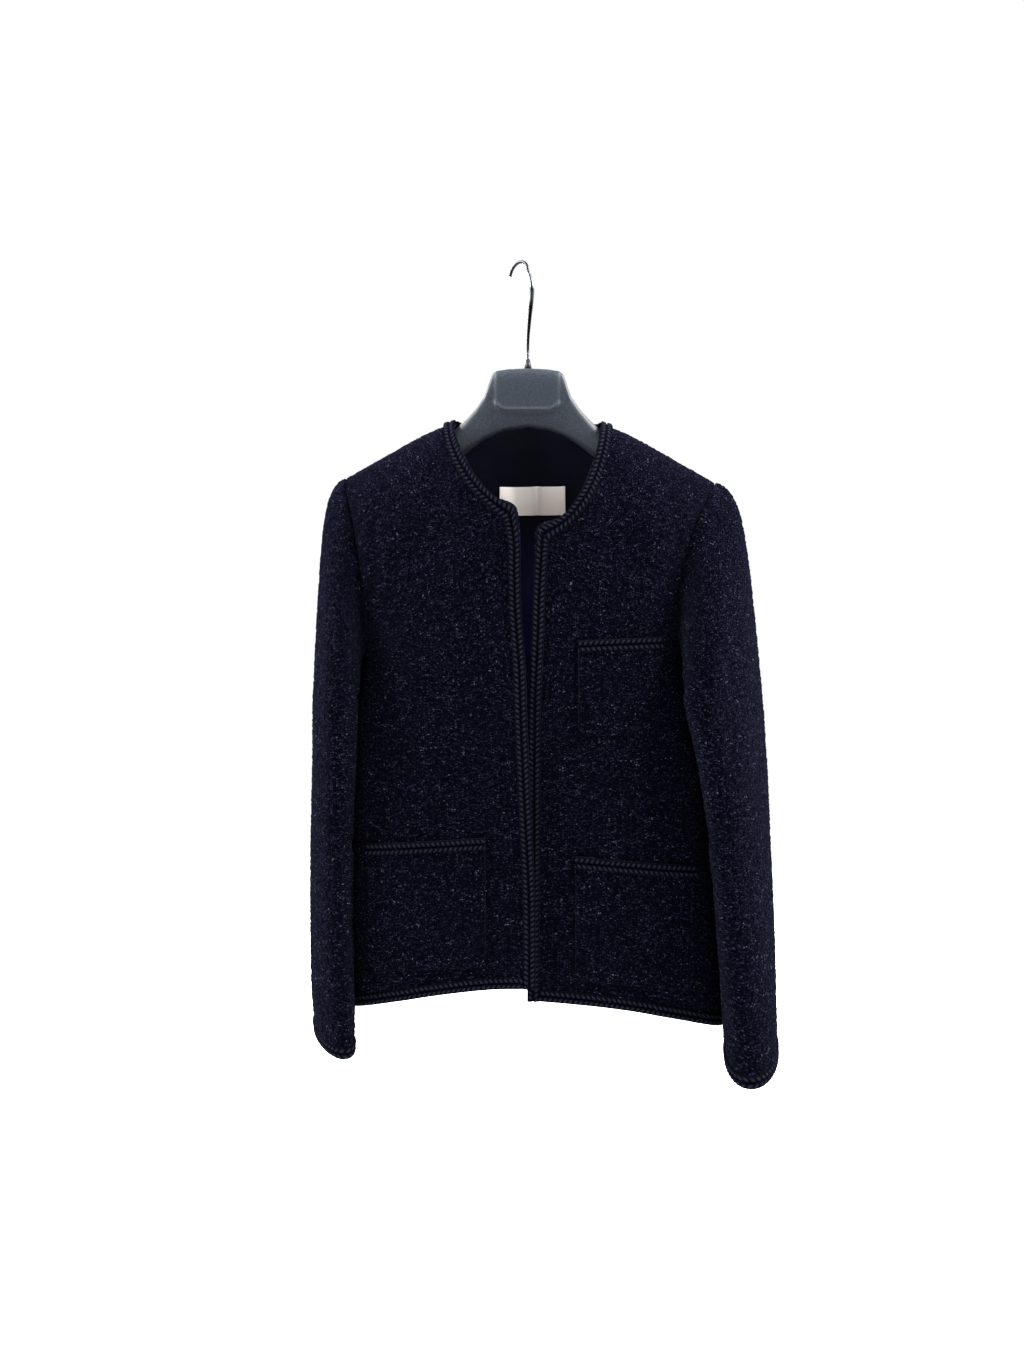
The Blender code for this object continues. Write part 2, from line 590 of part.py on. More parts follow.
def sleeve_grid(side, front, back):
    """Rings of outer points from the armhole to the cuff; the first ring is the panels' own armhole."""
    sign = FRONTS[side]["sign"]
    front_arm = front[SIDE_ROWS:, -1][::-1]
    back_arm = (back[SIDE_ROWS:, 0] if sign < 0 else back[SIDE_ROWS:, -1])[1:-1]
    loop = np.concatenate((front_arm, back_arm)) * np.array((sign, 1.0, 1.0))
    loop[0, 1] = loop[ARM_ROWS, 1] = 0.0
    loop[:, 0] += SEAM
    angles = np.linspace(0, 2 * math.pi, len(loop), endpoint=False)
    table = SLEEVES[side]
    full = CAP_FULLNESS[side]
    bicep = push_off_body(sleeve_ring(side, table["z"][-1], angles), side, SLEEVE_CLEAR)
    drop_power = 0.8 + 0.45 * smoothstep(loop[:, 2], UNDERARM_Z, UNDERARM_Z + 90)
    rings = []
    for t in CAP_STEPS:
        ring = np.empty_like(loop)
        out = full * (1 - (1 - t)**9) + (1 - full) * t
        ring[:, 0] = loop[:, 0] + (bicep[:, 0] - loop[:, 0]) * out
        ring[:, 1] = loop[:, 1] + (bicep[:, 1] - loop[:, 1]) * math.sin(t * math.pi / 2)
        ring[:, 2] = loop[:, 2] + (bicep[:, 2] - loop[:, 2]) * t**drop_power
        if 0 < t < 1:
            limit = body_side(ring[:, 1], ring[:, 2], side) + SEAM + (SLEEVE_CLEAR - SEAM) * t
            ring[:, 0] = np.maximum(ring[:, 0], limit)
        rings.append(ring)
    cuff = table["z"][0]
    for z in np.concatenate((np.linspace(table["z"][-1], cuff + BRAID_WIDTH, SLEEVE_ROWS + 1)[1:], [cuff])):
        rings.append(push_off_body(sleeve_ring(side, z, angles), side, SLEEVE_CLEAR))
    return np.stack(rings) * np.array((sign, 1.0, 1.0))


# ---------------------------------------------------------------- pieces
def build_body():
    """Fronts, back, sleeves and every braid that follows their edges."""
    panels = {}
    back = back_grid()
    for side in ("left", "right"):
        grid = front_grid(side)
        sign = FRONTS[side]["sign"]
        normals = grid_normals(grid, np.array((0.0, -1.0, 0.0)))
        inward = -normals
        inward[:SIDE_ROWS, -1] = (-sign, 0.0, 0.0)
        inward[SIDE_ROWS:, -1] = armhole_inward(grid[SIDE_ROWS:, -1], -sign)
        inward[-1, :, 1] = 0.0
        inward[-1] = unit(inward[-1])
        wall("front_" + side, grid, grid + inward * CLOTH, "tweed")
        panels[side] = (grid, normals)
    normals = grid_normals(back, np.array((0.0, 1.0, 0.0)))
    inward = -normals
    for column, sign in ((0, -1), (-1, 1)):
        inward[:SIDE_ROWS, column] = (-sign, 0.0, 0.0)
        inward[SIDE_ROWS:, column] = armhole_inward(back[SIDE_ROWS:, column], -sign)
    shoulders = np.abs(back[-1, :, 0]) > NECK_HALF - 1
    inward[-1, shoulders, 1] = 0.0
    inward[-1] = unit(inward[-1])
    wall("back", back, back + inward * CLOTH, "tweed")
    panels["back"] = (back, normals)

    for side in ("left", "right"):
        sign = FRONTS[side]["sign"]
        grid = sleeve_grid(side, panels[side][0], back)
        middle = grid.mean(axis=1, keepdims=True)
        normals = grid_normals(grid, grid - middle, closed=True)
        inward = -normals
        inward[0] = armhole_inward(grid[0], sign)
        wall("sleeve_" + side, grid, grid + inward * CLOTH, "tweed", closed=True)
        braid("braid_cuff_" + side, grid[-1], grid[-2], normals[-1], normals[-2], closed=True)
    return panels


def back_neck_band(back, normals):
    """The two lines of the neck braid over the back, from shoulder to shoulder.

    At each shoulder the outer line runs down beside the neck point and turns
    the corner, while the inner line is cut finer so that the two stay paired.
    """
    first, last = BACK_OUTER_COLUMNS, BACK_OUTER_COLUMNS + BACK_NECK_COLUMNS
    end = back.shape[0] - 1
    part = np.array((0.08, 0.5))
    row = np.full(BACK_NECK_COLUMNS + 5, end)
    inner = np.concatenate(([first], first + part, np.arange(first + 1, last), last - part[::-1], [last]))
    outer_row = row - 1
    outer_row[[0, -1]] = end
    outer = np.concatenate(([first - 1, first - 1], np.arange(first, last + 1), [last + 1, last + 1]))
    low_normals = unit(on_grid(normals, row, inner))
    high_normals = unit(on_grid(normals, outer_row, outer))
    for line in (low_normals, high_normals):
        line[[0, -1]] = (0.0, 0.0, 1.0)
    return on_grid(back, row, inner), on_grid(back, outer_row, outer), low_normals, high_normals


def build_braids(panels):
    """Braid along the front edges, the neck and the hem, each over the panels' own border points."""
    left, left_normals = panels["left"]
    right, right_normals = panels["right"]
    back, back_normals = panels["back"]
    for side in ("left", "right"):
        grid, normals = panels[side]
        edge = slice(0, CORNER_ROW + 1)
        low, high = grid[edge, 0].copy(), grid[edge, 1].copy()
        # the mitre at the neck corner keeps a seam's space to the neck braid
        low[-1, 2] -= SEAM
        high[-1, 2] -= SEAM
        braid("braid_front_" + side, low, high, normals[edge, 0], normals[edge, 1])

    neck = slice(CORNER_ROW, ROWS)
    low, high, low_normals, high_normals = back_neck_band(back, back_normals)
    edge = np.concatenate((left[neck, 0], low, right[neck, 0][::-1]))
    second = np.concatenate((left[neck, 1], high, right[neck, 1][::-1]))
    edge_normals = np.concatenate((left_normals[neck, 0], low_normals, right_normals[neck, 0][::-1]))
    second_normals = np.concatenate((left_normals[neck, 1], high_normals, right_normals[neck, 1][::-1]))
    braid("braid_neck", edge, second, edge_normals, second_normals)

    rows = [np.concatenate((left[row, 1:], back[row, 1:-1], right[row, :0:-1])) for row in (0, 1)]
    row_normals = [np.concatenate((left_normals[row, 1:], back_normals[row, 1:-1],
                                   right_normals[row, :0:-1])) for row in (0, 1)]
    for line in rows:
        line[0, 0] -= SEAM
        line[-1, 0] += SEAM
    braid("braid_hem", rows[0], rows[1], row_normals[0], row_normals[1])


def build_pocket(name):
    """A patch pocket with rounded lower corners, its points those of the front moved out."""
    pocket = POCKETS[name]
    side = pocket["side"]
    near, far = pocket["x"]
    turn = np.radians((0, 22.5, 45, 67.5, 90))
    inset = POCKET_CORNER * (1 - np.cos(turn))
    width = abs(far - near)
    away = np.concatenate((inset, np.linspace(inset[-1], width - inset[-1], 8)[1:-1], width - inset[::-1]))
    lift = np.interp(np.minimum(away, width - away), inset, POCKET_CORNER * (1 - np.sin(turn)))
    x = near + away * np.sign(far - near)
    top = pocket["top"][0] + (pocket["top"][1] - pocket["top"][0]) * away / width
    steps = np.linspace(0, 1, POCKET_ROWS)[:, None]
    bottom = top - pocket["depth"] + lift
    z = np.concatenate((bottom + (top - BRAID_WIDTH - bottom) * steps, [top]))
    grid = body_surface(np.broadcast_to(x, z.shape), way_down(x, z, "front"), "front", side)
    normals = grid_normals(grid, np.array((0.0, -1.0, 0.0)))
    base = grid + normals * POCKET_SEAM
    face = base + normals * POCKET_CLOTH
    wall(name, face, base, "tweed")
    braid(name.replace("pocket", "braid_pocket"), face[-2], face[-1], normals[-2], normals[-1])


def build_lining_and_label(panels):
    back, normals = panels["back"]
    first = int(np.argmin(np.abs(back[:, BACK_OUTER_COLUMNS, 2] - LINING_FLOOR)))
    columns = slice(4, back.shape[1] - 4)
    top_row = back.shape[0] - 1
    outer = (back - normals * (CLOTH + SEAM))[first:top_row, columns]
    inner = (back - normals * (CLOTH + SEAM + LINING))[first:top_row, columns]
    wall("lining_back", outer, inner, "lining")
    # the label's columns include the back's own, so that both bend alike
    lines = back[-1, :, 0]
    first, last = np.interp(LABEL["x"], lines, np.arange(len(lines)))
    column = np.concatenate(([first], np.arange(math.ceil(first), math.floor(last) + 1), [last]))
    every_row = np.arange(back.shape[0])
    row = [np.interp(np.linspace(*LABEL["z"], LABEL_ROWS), on_grid(back, every_row, place)[:, 2], every_row)
           for place in column]
    row = np.stack(row, axis=1)
    far, near = (on_grid(back - normals * depth, row, column)
                 for depth in (CLOTH + LINING + 2 * SEAM, CLOTH + LINING + 2 * SEAM + LABEL_CLOTH))
    wall("label", far, near, "label")


def on_grid(grid, row, column):
    """Points on a grid's cells at places told as fractions of the row and column index."""
    row, column = np.broadcast_arrays(row, column)
    i = np.minimum(row.astype(int), grid.shape[0] - 2)
    j = np.minimum(column.astype(int), grid.shape[1] - 2)
    u, v = (row - i)[..., None], (column - j)[..., None]
    return ((grid[i, j] * (1 - v) + grid[i, j + 1] * v) * (1 - u)
            + (grid[i + 1, j] * (1 - v) + grid[i + 1, j + 1] * v) * u)


def build_hanger():
    """A moulded body through upright sections along X: a plate-like head that turns into round arms."""
    x = np.concatenate((-np.array(HANGER["x"][:0:-1], float), np.array(HANGER["x"], float)))
    size = np.abs(x)
    top = np.interp(size, HANGER["x"], HANGER["top"])
    bottom = np.interp(size, HANGER["x"], HANGER["bottom"])
    half = np.interp(size, HANGER["x"], HANGER["half"])
    power = 4.0 - 2.0 * smoothstep(size, 36.0, 80.0)
    angles = np.linspace(0, 2 * math.pi, HANGER_SIDES, endpoint=False) + math.pi / HANGER_SIDES
    rings = np.empty((len(x), HANGER_SIDES, 3))
    for k in range(len(x)):
        cosine, sine = np.cos(angles), np.sin(angles)
        y = half[k] * np.sign(cosine) * np.abs(cosine)**(2 / power[k])
        middle, reach = (top[k] + bottom[k]) / 2, (top[k] - bottom[k]) / 2
        z = middle + reach * np.sign(sine) * np.abs(sine)**(2 / power[k])
        rings[k] = np.stack((np.full(HANGER_SIDES, x[k]), y, z - ROLL * x[k]), axis=-1)
    tube("hanger_body", rings, "plastic")

    foot = HANGER["top"][0] + SEAM
    turn = np.linspace(0, 2 * math.pi, 16, endpoint=False)
    levels = ((0.0, FERRULE["foot"]), (FERRULE["height"], FERRULE["top"]))
    rings = [np.stack((radius * np.cos(turn), radius * np.sin(turn), np.full(16, foot + up)), axis=-1)
             for up, radius in levels]
    tube("hanger_ferrule", np.stack(rings), "plastic")

    foot += FERRULE["height"] + SEAM
    path = [(0.0, foot), (0.0, foot + COLLAR_HEIGHT)]
    radii = [COLLAR_RADIUS, COLLAR_RADIUS]
    knots = np.arange(len(STEM_LEAN["z"]))
    places = np.linspace(1, knots[-1], 10)
    stem = np.stack([curve_through(places, knots, STEM_LEAN[column]) for column in ("out", "z")], axis=-1)
    loop = np.radians(np.linspace(4, LOOP_END, 18))
    middle = WIRE / 2 - LOOP_RADIUS
    loop = np.stack((LOOP_CENTRE + LOOP_RADIUS * np.cos(loop), middle + LOOP_RADIUS * np.sin(loop)), axis=-1)
    line = np.concatenate((path, stem, loop))
    radii += [WIRE / 2] * (len(line) - 2)
    away = np.array((math.cos(HOOK_TURN), -math.sin(HOOK_TURN), 0.0))
    centres = line[:, :1] * away + line[:, 1:] * np.array((0.0, 0.0, 1.0))
    along = unit(np.gradient(centres, axis=0))
    aside = np.array((math.sin(HOOK_TURN), math.cos(HOOK_TURN), 0.0))
    other = np.cross(along, aside)
    turn = np.linspace(0, 2 * math.pi, 10, endpoint=False)
    rings = (centres[:, None] + np.array(radii)[:, None, None]
             * (np.cos(turn)[:, None] * aside + np.sin(turn)[None, :, None] * other[:, None]))
    tube("hanger_hook", rings, "chrome")


def main():
    for thing in list(bpy.data.objects):
        bpy.data.objects.remove(thing, do_unlink=True)
    panels = build_body()
    build_braids(panels)
    for name in POCKETS:
        build_pocket(name)
    build_lining_and_label(panels)
    build_hanger()


main()
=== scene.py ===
import math
import bpy
import numpy as np
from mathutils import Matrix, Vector


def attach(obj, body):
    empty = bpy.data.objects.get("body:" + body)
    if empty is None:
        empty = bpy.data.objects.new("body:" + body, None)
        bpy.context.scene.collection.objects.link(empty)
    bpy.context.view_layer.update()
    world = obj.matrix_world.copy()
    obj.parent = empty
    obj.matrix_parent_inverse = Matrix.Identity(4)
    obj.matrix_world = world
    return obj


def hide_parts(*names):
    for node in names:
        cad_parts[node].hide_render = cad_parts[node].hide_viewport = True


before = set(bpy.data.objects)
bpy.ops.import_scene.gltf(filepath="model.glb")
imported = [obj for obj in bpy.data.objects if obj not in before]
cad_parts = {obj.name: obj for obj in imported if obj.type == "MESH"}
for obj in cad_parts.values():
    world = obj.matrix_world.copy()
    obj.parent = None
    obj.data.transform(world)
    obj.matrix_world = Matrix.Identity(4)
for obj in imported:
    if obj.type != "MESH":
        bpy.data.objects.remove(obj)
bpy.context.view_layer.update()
scene = bpy.context.scene
print("frame loaded, nodes:", len(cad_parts))

# Lengths are millimetres about the hook's stem. putMesh moves them to the seat under the hook's
# loop and turns them into metres. "left" and "right" are as seen from the front.
hook = {"wire": 3.2, "loopRadius": 13.6, "loopStart": 4.0, "loopEnd": 168.0, "turn": math.radians(42),
        "collarRadius": 2.4, "collarHeight": 6.5, "bevel": 0.4,
        "stemZ": (-104, -92, -78, -58, -38, -27, -17),
        "stemOut": (-0.4, -0.3, 0.3, 2.8, 5.4, 5.2, 2.2),
        "stemHalf": (1.5, 1.6, 1.7, 2.1, 2.7, 2.6, 1.8),
        "stemRings": 28, "loopRings": 40, "sides": 24}
seat = np.array((-hook["loopRadius"] * math.cos(hook["turn"]),
                 hook["loopRadius"] * math.sin(hook["turn"]), 0.0))


def smoothStep(value, start, end):
    # 0 before start, 1 past end, and 3 t squared less 2 t cubed between them
    t = np.clip((value - start) / (end - start), 0.0, 1.0)
    return t * t * (3 - 2 * t)


def unit(vectors):
    # each vector over its own length
    return vectors / np.maximum(np.linalg.norm(vectors, axis=-1, keepdims=True), 1e-9)


def curveThrough(value, knots, rows):
    # cubic spans through a table's rows, with the slope at a row taken from its neighbours
    knots, rows = np.asarray(knots, float), np.asarray(rows, float)
    slopes = np.gradient(rows, knots, axis=0)
    value = np.clip(value, knots[0], knots[-1])
    span = np.clip(np.searchsorted(knots, value) - 1, 0, len(knots) - 2)
    length = knots[span + 1] - knots[span]
    t = (value - knots[span]) / length
    wide = np.shape(t) + (1,) * (rows.ndim - 1)
    t, length = np.reshape(t, wide), np.reshape(length, wide)
    return ((2 * t**3 - 3 * t**2 + 1) * rows[span] + (t**3 - 2 * t**2 + t) * length * slopes[span]
            + (3 * t**2 - 2 * t**3) * rows[span + 1] + (t**3 - t**2) * length * slopes[span + 1])


def evenly(points, count):
    # places along a fine line, as fractions of its index, that cut it into equal lengths
    travelled = lengthsAlong(points)
    return np.interp(np.linspace(0, travelled[-1], count + 1), travelled, np.linspace(0, 1, len(points)))


def lengthsAlong(points):
    # the way travelled at each point of a line, or the mean of it over the lines of a grid
    steps = np.linalg.norm(np.diff(points, axis=0), axis=-1)
    steps = steps if steps.ndim == 1 else steps.mean(axis=1)
    return np.concatenate(([0.0], np.cumsum(steps)))


def gridNormals(grid, outward, closed=False):
    # the cross product of the steps along a row and along a column, turned to the outward side
    across = np.roll(grid, -1, 1) - np.roll(grid, 1, 1) if closed else np.gradient(grid, axis=1)
    normals = unit(np.cross(across, np.gradient(grid, axis=0)))
    return normals * np.sign(np.sum(normals * outward))


# The jacket's body, cut as two fronts and a back. A table's rows go with its x or z row.
body = {"cloth": 3.0, "seam": 0.3, "braidWidth": 12.0, "squareness": 3.0,
        "lean": 0.03,                                  # the hanger hangs lower on the right
        "neckHalf": 75.0, "underarm": -415.0, "tip": 189.5, "backNeckRise": 16.0, "backHem": -752.0,
        "rollDepth": 60.0, "overlapReach": 55.0, "overlapTop": (-380.0, -468.0),
        "sideRows": 10, "armRows": 11, "neckRows": 6, "frontColumns": 10,
        "backOuterColumns": 8, "backNeckColumns": 8}
rowCount = body["sideRows"] + body["armRows"]
cornerRow = rowCount - body["neckRows"]
shoulder = {"x": (0, 37, 53, 69, 75, 81, 95, 118, 150, 190, 205),
            "z": (-117, -133, -144, -160.7, -167.5, -170.3, -176, -187.2, -205, -227.5, -236.5),
            "front": (150.0, 90.0), "back": (100.0, 88.0)}   # how far it rolls down, at the neck and tip
girth = {"z": (-778, -727, -668, -609, -565, -522, -481, -445, -415, -330, -225),
         "left": (182, 182, 181.5, 181, 180, 179, 178, 175, 168, 182, 199),
         "right": (197.5, 196, 192, 186.5, 182.5, 176, 169, 162, 158, 172, 197),
         "front": (54, 55.5, 57.5, 60, 61, 62, 62, 62, 62, 60, 60),
         "back": (48, 49.5, 52, 54.5, 56, 57, 58, 58, 58, 57, 56)}
armhole = {"z": (-415, -402, -385, -350, -310, -275, -250, -225),
           "left": (168, 162.5, 161, 164.5, 169, 175, 182, 190),
           "right": (158, 152.5, 150.5, 152, 157, 166, 177, 190)}
frontEdge = {"z": (-750, -630, -565, -500, -453, -415, -375, -333, -292, -260),
             "left": (11.5, 11, 8, 5.2, 3.3, 1.9, -1.6, -2.9, -3.8, -7.5),
             "right": (2.8, 3.6, 4.2, 4.6, 5.2, 7.1, 8.6, 10, 12.6, 12.8)}
fronts = {"left": {"sign": -1, "hemFront": -733.5, "hemSide": -767.0, "hemBend": 1.7,
                   "corner": (-7.5, -264.4), "neckPower": 1.52, "overlap": -3.4},
          "right": {"sign": 1, "hemFront": -747.5, "hemSide": -777.0, "hemBend": 2.2,
                    "corner": (12.8, -284.8), "neckPower": 1.85, "overlap": 2.9}}
# soft hollows and swells: top point, bottom point, half width, height
folds = {"front": (((-94, -222), (-86, -318), 22, -4.0), ((-60, -300), (-70, -430), 28, 2.5),
                   ((84, -212), (98, -322), 21, -4.5), ((124, -250), (118, -380), 24, 2.5),
                   ((-128, -430), (-122, -560), 18, -3.0), ((30, -560), (26, -760), 18, -2.5),
                   ((-20, -600), (-24, -760), 16, -2.0)),
         "back": (((-70, -215), (-88, -420), 24, -4.5), ((72, -215), (90, -430), 24, -4.0),
                  ((0, -330), (6, -760), 30, -3.0), ((-58, -560), (-64, -765), 24, 3.0),
                  ((70, -540), (78, -765), 24, 3.0))}
# finer creases in the same terms; a sleeve's are in mm round it from its outer side and mm down it
creases = {"front": (((-152, -418), (-118, -505), 10, -1.7), ((-138, -396), (-96, -436), 9, 1.2),
                     ((146, -418), (116, -500), 10, -1.7), ((140, -394), (102, -430), 8, 1.2),
                     ((-86, -470), (-93, -570), 13, 1.3), ((96, -500), (86, -590), 12, -1.1),
                     ((-62, -214), (-44, -276), 9, -1.1), ((66, -216), (46, -290), 9, -1.2),
                     ((-148, -250), (-150, -345), 9, -1.2), ((152, -262), (140, -350), 9, -1.3),
                     ((-128, -640), (-118, -762), 12, 1.3), ((126, -640), (134, -770), 13, 1.4)),
           "back": (((-142, -300), (-106, -425), 12, -1.8), ((144, -292), (112, -415), 12, -1.8),
                    ((-34, -180), (-46, -300), 12, -1.2), ((38, -176), (44, -320), 13, -1.2),
                    ((-150, -420), (-112, -520), 10, -1.6), ((148, -410), (112, -500), 10, -1.5),
                    ((-14, -660), (-24, -765), 12, 1.3), ((96, -650), (104, -770), 12, 1.3)),
           "sleeve_left": (((62, 268), (122, 292), 9, -1.9), ((56, 318), (112, 334), 8, -1.6),
                           ((66, 372), (118, 362), 10, -1.5), ((88, 120), (140, 150), 10, -1.9),
                           ((30, 60), (44, 190), 12, -1.2), ((176, 280), (226, 300), 10, -1.6),
                           ((170, 340), (214, 330), 9, -1.3), ((20, 430), (34, 560), 13, 1.1)),
           "sleeve_right": (((58, 250), (118, 276), 9, -1.9), ((54, 300), (116, 322), 8, -1.7),
                            ((60, 360), (108, 352), 10, -1.4), ((84, 108), (138, 142), 10, -1.9),
                            ((26, 70), (46, 205), 12, -1.2), ((172, 270), (230, 292), 10, -1.6),
                            ((168, 332), (216, 326), 9, -1.3), ((24, 420), (30, 540), 13, 1.1))}


def ridge(x):
    # the shoulder line's height: its table on both sides of the neck, leaned to one side
    return curveThrough(np.abs(x), shoulder["x"], shoulder["z"]) - body["lean"] * x


def rollHeight(x, face):
    # how far below the shoulder line the cloth comes to hang plumb
    atNeck, atTip = shoulder[face]
    return atNeck + (atTip - atNeck) * smoothStep(np.abs(x), body["neckHalf"], body["tip"])


def rollArc(x, face):
    # the length of that quarter ellipse: a right angle times the root mean square of its half axes
    return math.pi / 2 * np.sqrt((rollHeight(x, face)**2 + body["rollDepth"]**2) / 2)


def foldHeight(x, z, table):
    # each fold is a bell across its line, times a fade in and out over the ends of the line
    total = np.zeros(np.broadcast(x, z).shape)
    for top, bottom, wide, high in table:
        top, reach = np.array(top, float), math.dist(top, bottom)
        along = (np.array(bottom) - top) / reach
        run = (x - top[0]) * along[0] + (z - top[1]) * along[1]
        aside = (x - top[0]) * along[1] - (z - top[1]) * along[0]
        fade = smoothStep(run, -0.25 * reach, 0.25 * reach)
        fade = fade * (1 - smoothStep(run, 0.75 * reach, 1.25 * reach))
        total = total + high * fade * np.exp(-(aside / wide)**2)
    return total


def bodySurface(x, down, face, side=None):
    # over x: a quarter ellipse down from the shoulder line, then plumb;
    # a level section: a superellipse from the middle to the side seam
    x, down = np.broadcast_arrays(np.asarray(x, float), np.asarray(down, float))
    height, arc = rollHeight(x, face), rollArc(x, face)
    turn = np.clip(down / arc, 0.0, 1.0) * math.pi / 2
    z = ridge(x) - height * (1 - np.cos(turn)) - np.maximum(down - arc, 0.0)
    half = np.where(x < 0, curveThrough(z, girth["z"], girth["left"]),
                    curveThrough(z, girth["z"], girth["right"]))
    section = (1 - np.clip(np.abs(x) / half, 0.0, 1.0)**body["squareness"])**(1 / body["squareness"])
    deep = curveThrough(z, girth["z"], girth[face]) + foldHeight(x, z, folds[face])
    y = deep * section * np.sin(turn)
    if face == "back":
        return np.stack((x, np.maximum(y, body["seam"] / 2), z), axis=-1)
    y = -y
    if side is not None:
        across = 1 - smoothStep(fronts[side]["sign"] * x, 0.0, body["overlapReach"])
        start, end = body["overlapTop"]
        y = y + fronts[side]["overlap"] * across * smoothStep(-z, -start, -end)
    return np.stack((x, np.minimum(y, -body["seam"] / 2), z), axis=-1)


def wayDown(x, z, face):
    # the way down over the cloth from the shoulder line to height z: the arc's angle times its
    # length, and below the arc the drop that is left
    drop, height, arc = ridge(x) - z, rollHeight(x, face), rollArc(x, face)
    turn = np.arccos(np.clip(1 - drop / height, 0.0, 1.0))
    return np.where(drop < height, turn * 2 / math.pi * arc, arc + drop - height)


def evenPoints(x, down, face, count):
    # thins a fine line on the cloth to points at equal lengths along it
    where = evenly(bodySurface(x, down, face), count)
    index = np.linspace(0, 1, len(x))
    return np.interp(where, index, x), np.interp(where, index, down)


def armholePoints(side, face):
    # the armhole's table from the underarm up, drawn in to the shoulder tip over its upper part
    sign = fronts[side]["sign"]
    tip = ridge(sign * body["tip"])
    z = body["underarm"] + (tip - body["underarm"]) * np.linspace(0, 1, 400)**2
    x = sign * curveThrough(z, armhole["z"], armhole[side])
    x = x + (sign * body["tip"] - x[-1]) * smoothStep(z, body["underarm"] + 60, tip)
    down = np.maximum(wayDown(x, z, face), 0.0)
    down[-1] = 0.0
    return evenPoints(x, down, face, body["armRows"])


def outerBorder(side, face):
    # the side seam from the hem up to the underarm, then the armhole
    hem = fronts[side]["hemSide"]
    z = np.concatenate(([hem], np.linspace(hem + body["braidWidth"], body["underarm"], body["sideRows"])))
    x = fronts[side]["sign"] * curveThrough(z, girth["z"], girth[side])
    armX, armDown = armholePoints(side, face)
    return np.concatenate((x[:-1], armX)), np.concatenate((wayDown(x, z, face)[:-1], armDown))


def neckline(side):
    # a superellipse's quarter from the front edge's corner up to the neck point
    front = fronts[side]
    cornerX, cornerZ = front["corner"]
    point = front["sign"] * body["neckHalf"]
    angle = np.linspace(0, math.pi / 2, 300)
    x = cornerX + (point - cornerX) * np.sin(angle)**(2 / front["neckPower"])
    z = ridge(point) + (cornerZ - ridge(point)) * np.cos(angle)**(2 / front["neckPower"])
    down = np.maximum(wayDown(x, z, "front"), 0.0)
    down[-1] = 0.0
    return evenPoints(x, down, "front", body["neckRows"])


def slideAcross(x, down, side, away, distance):
    # moves border points over the cloth, square to the border, in steps that are solved for x and down
    steps = 3
    for _ in range(steps):
        here = bodySurface(x, down, "front", side)
        along = unit(np.gradient(here, axis=0))
        byX = bodySurface(x + 0.5, down, "front", side) - bodySurface(x - 0.5, down, "front", side)
        byDown = bodySurface(x, down + 1.0, "front", side) - here
        across = unit(np.cross(unit(np.cross(byX, byDown)), along))
        across = across * np.sign(np.sum(across * away, axis=-1, keepdims=True)) * distance / steps
        moves = np.linalg.pinv(np.stack((byX, byDown), axis=-1)) @ across[..., None]
        x, down = x + moves[:, 0, 0], down + moves[:, 1, 0]
    return x, down


def frontGrid(side):
    # rows from the hem to the shoulder between the front edge and the side; columns by a sine
    front, sign, wide = fronts[side], fronts[side]["sign"], body["braidWidth"]
    edgeZ = np.concatenate(([front["hemFront"]],
                            np.linspace(front["hemFront"] + wide, front["corner"][1], cornerRow)))
    edgeX = curveThrough(edgeZ, frontEdge["z"], frontEdge[side])
    edgeX[-1] = front["corner"][0]
    neckX, neckDown = neckline(side)
    innerX = np.concatenate((edgeX[:-1], neckX))
    innerDown = np.concatenate((wayDown(edgeX, edgeZ, "front")[:-1], neckDown))
    # the second column lies a braid's width from the edge and from the neckline
    secondX = innerX + sign * wide
    secondDown = wayDown(secondX, bodySurface(innerX, innerDown, "front")[:, 2], "front")
    movedX, movedDown = slideAcross(neckX, neckDown, side, np.array((sign, 0.0, -0.6)), wide)
    secondX[cornerRow + 1:], secondDown[cornerRow + 1:] = movedX[1:], movedDown[1:]
    secondX[-1], secondDown[-1] = sign * (body["neckHalf"] + wide), 0.0
    secondDown[cornerRow] = wayDown(secondX[cornerRow], front["corner"][1] - wide * 1.15, "front")
    # below, rows keep to heights; towards the shoulder, to the way down
    outerX, outerDown = outerBorder(side, "front")
    share = np.sin(np.arange(body["frontColumns"]) / (body["frontColumns"] - 1) * math.pi / 2)
    second = bodySurface(secondX, secondDown, "front")[:, 2:]
    outer = bodySurface(outerX, outerDown, "front")[:, 2:]
    x = secondX[:, None] + (outerX - secondX)[:, None] * share
    byHeight = wayDown(x, second + (outer - second) * share, "front")
    byWay = secondDown[:, None] + (outerDown - secondDown)[:, None] * share
    mix = smoothStep(np.arange(rowCount + 1), cornerRow - 1, rowCount - 2)[:, None]
    down = byHeight * (1 - mix) + byWay * mix
    # the hem drops towards the side by a power of the way across
    edge = curveThrough(front["hemFront"], frontEdge["z"], frontEdge[side])
    away = np.clip(sign * (x[:2] - edge) / (girth[side][0] - sign * edge), 0.0, 1.0)
    hem = front["hemFront"] + (front["hemSide"] - front["hemFront"]) * away**front["hemBend"]
    down[:2] = wayDown(x[:2], hem + np.array((0.0, wide))[:, None], "front")
    grid = bodySurface(x, down, "front", side)
    # its curve is carried upward and fades out by the underarm
    low = grid[1]
    straight = low[0, 2] + (low[-1, 2] - low[0, 2]) * (low[:, 0] - low[0, 0]) / (low[-1, 0] - low[0, 0])
    rows = np.arange(2, body["sideRows"])
    raised = grid[rows, :, 2] + (low[:, 2] - straight) * (1 - rows / body["sideRows"])[:, None]
    grid[rows] = bodySurface(x[rows], wayDown(x[rows], raised, "front"), "front", side)
    border = bodySurface(innerX, innerDown, "front", side)[:, None]
    return np.concatenate((border, grid), axis=1)


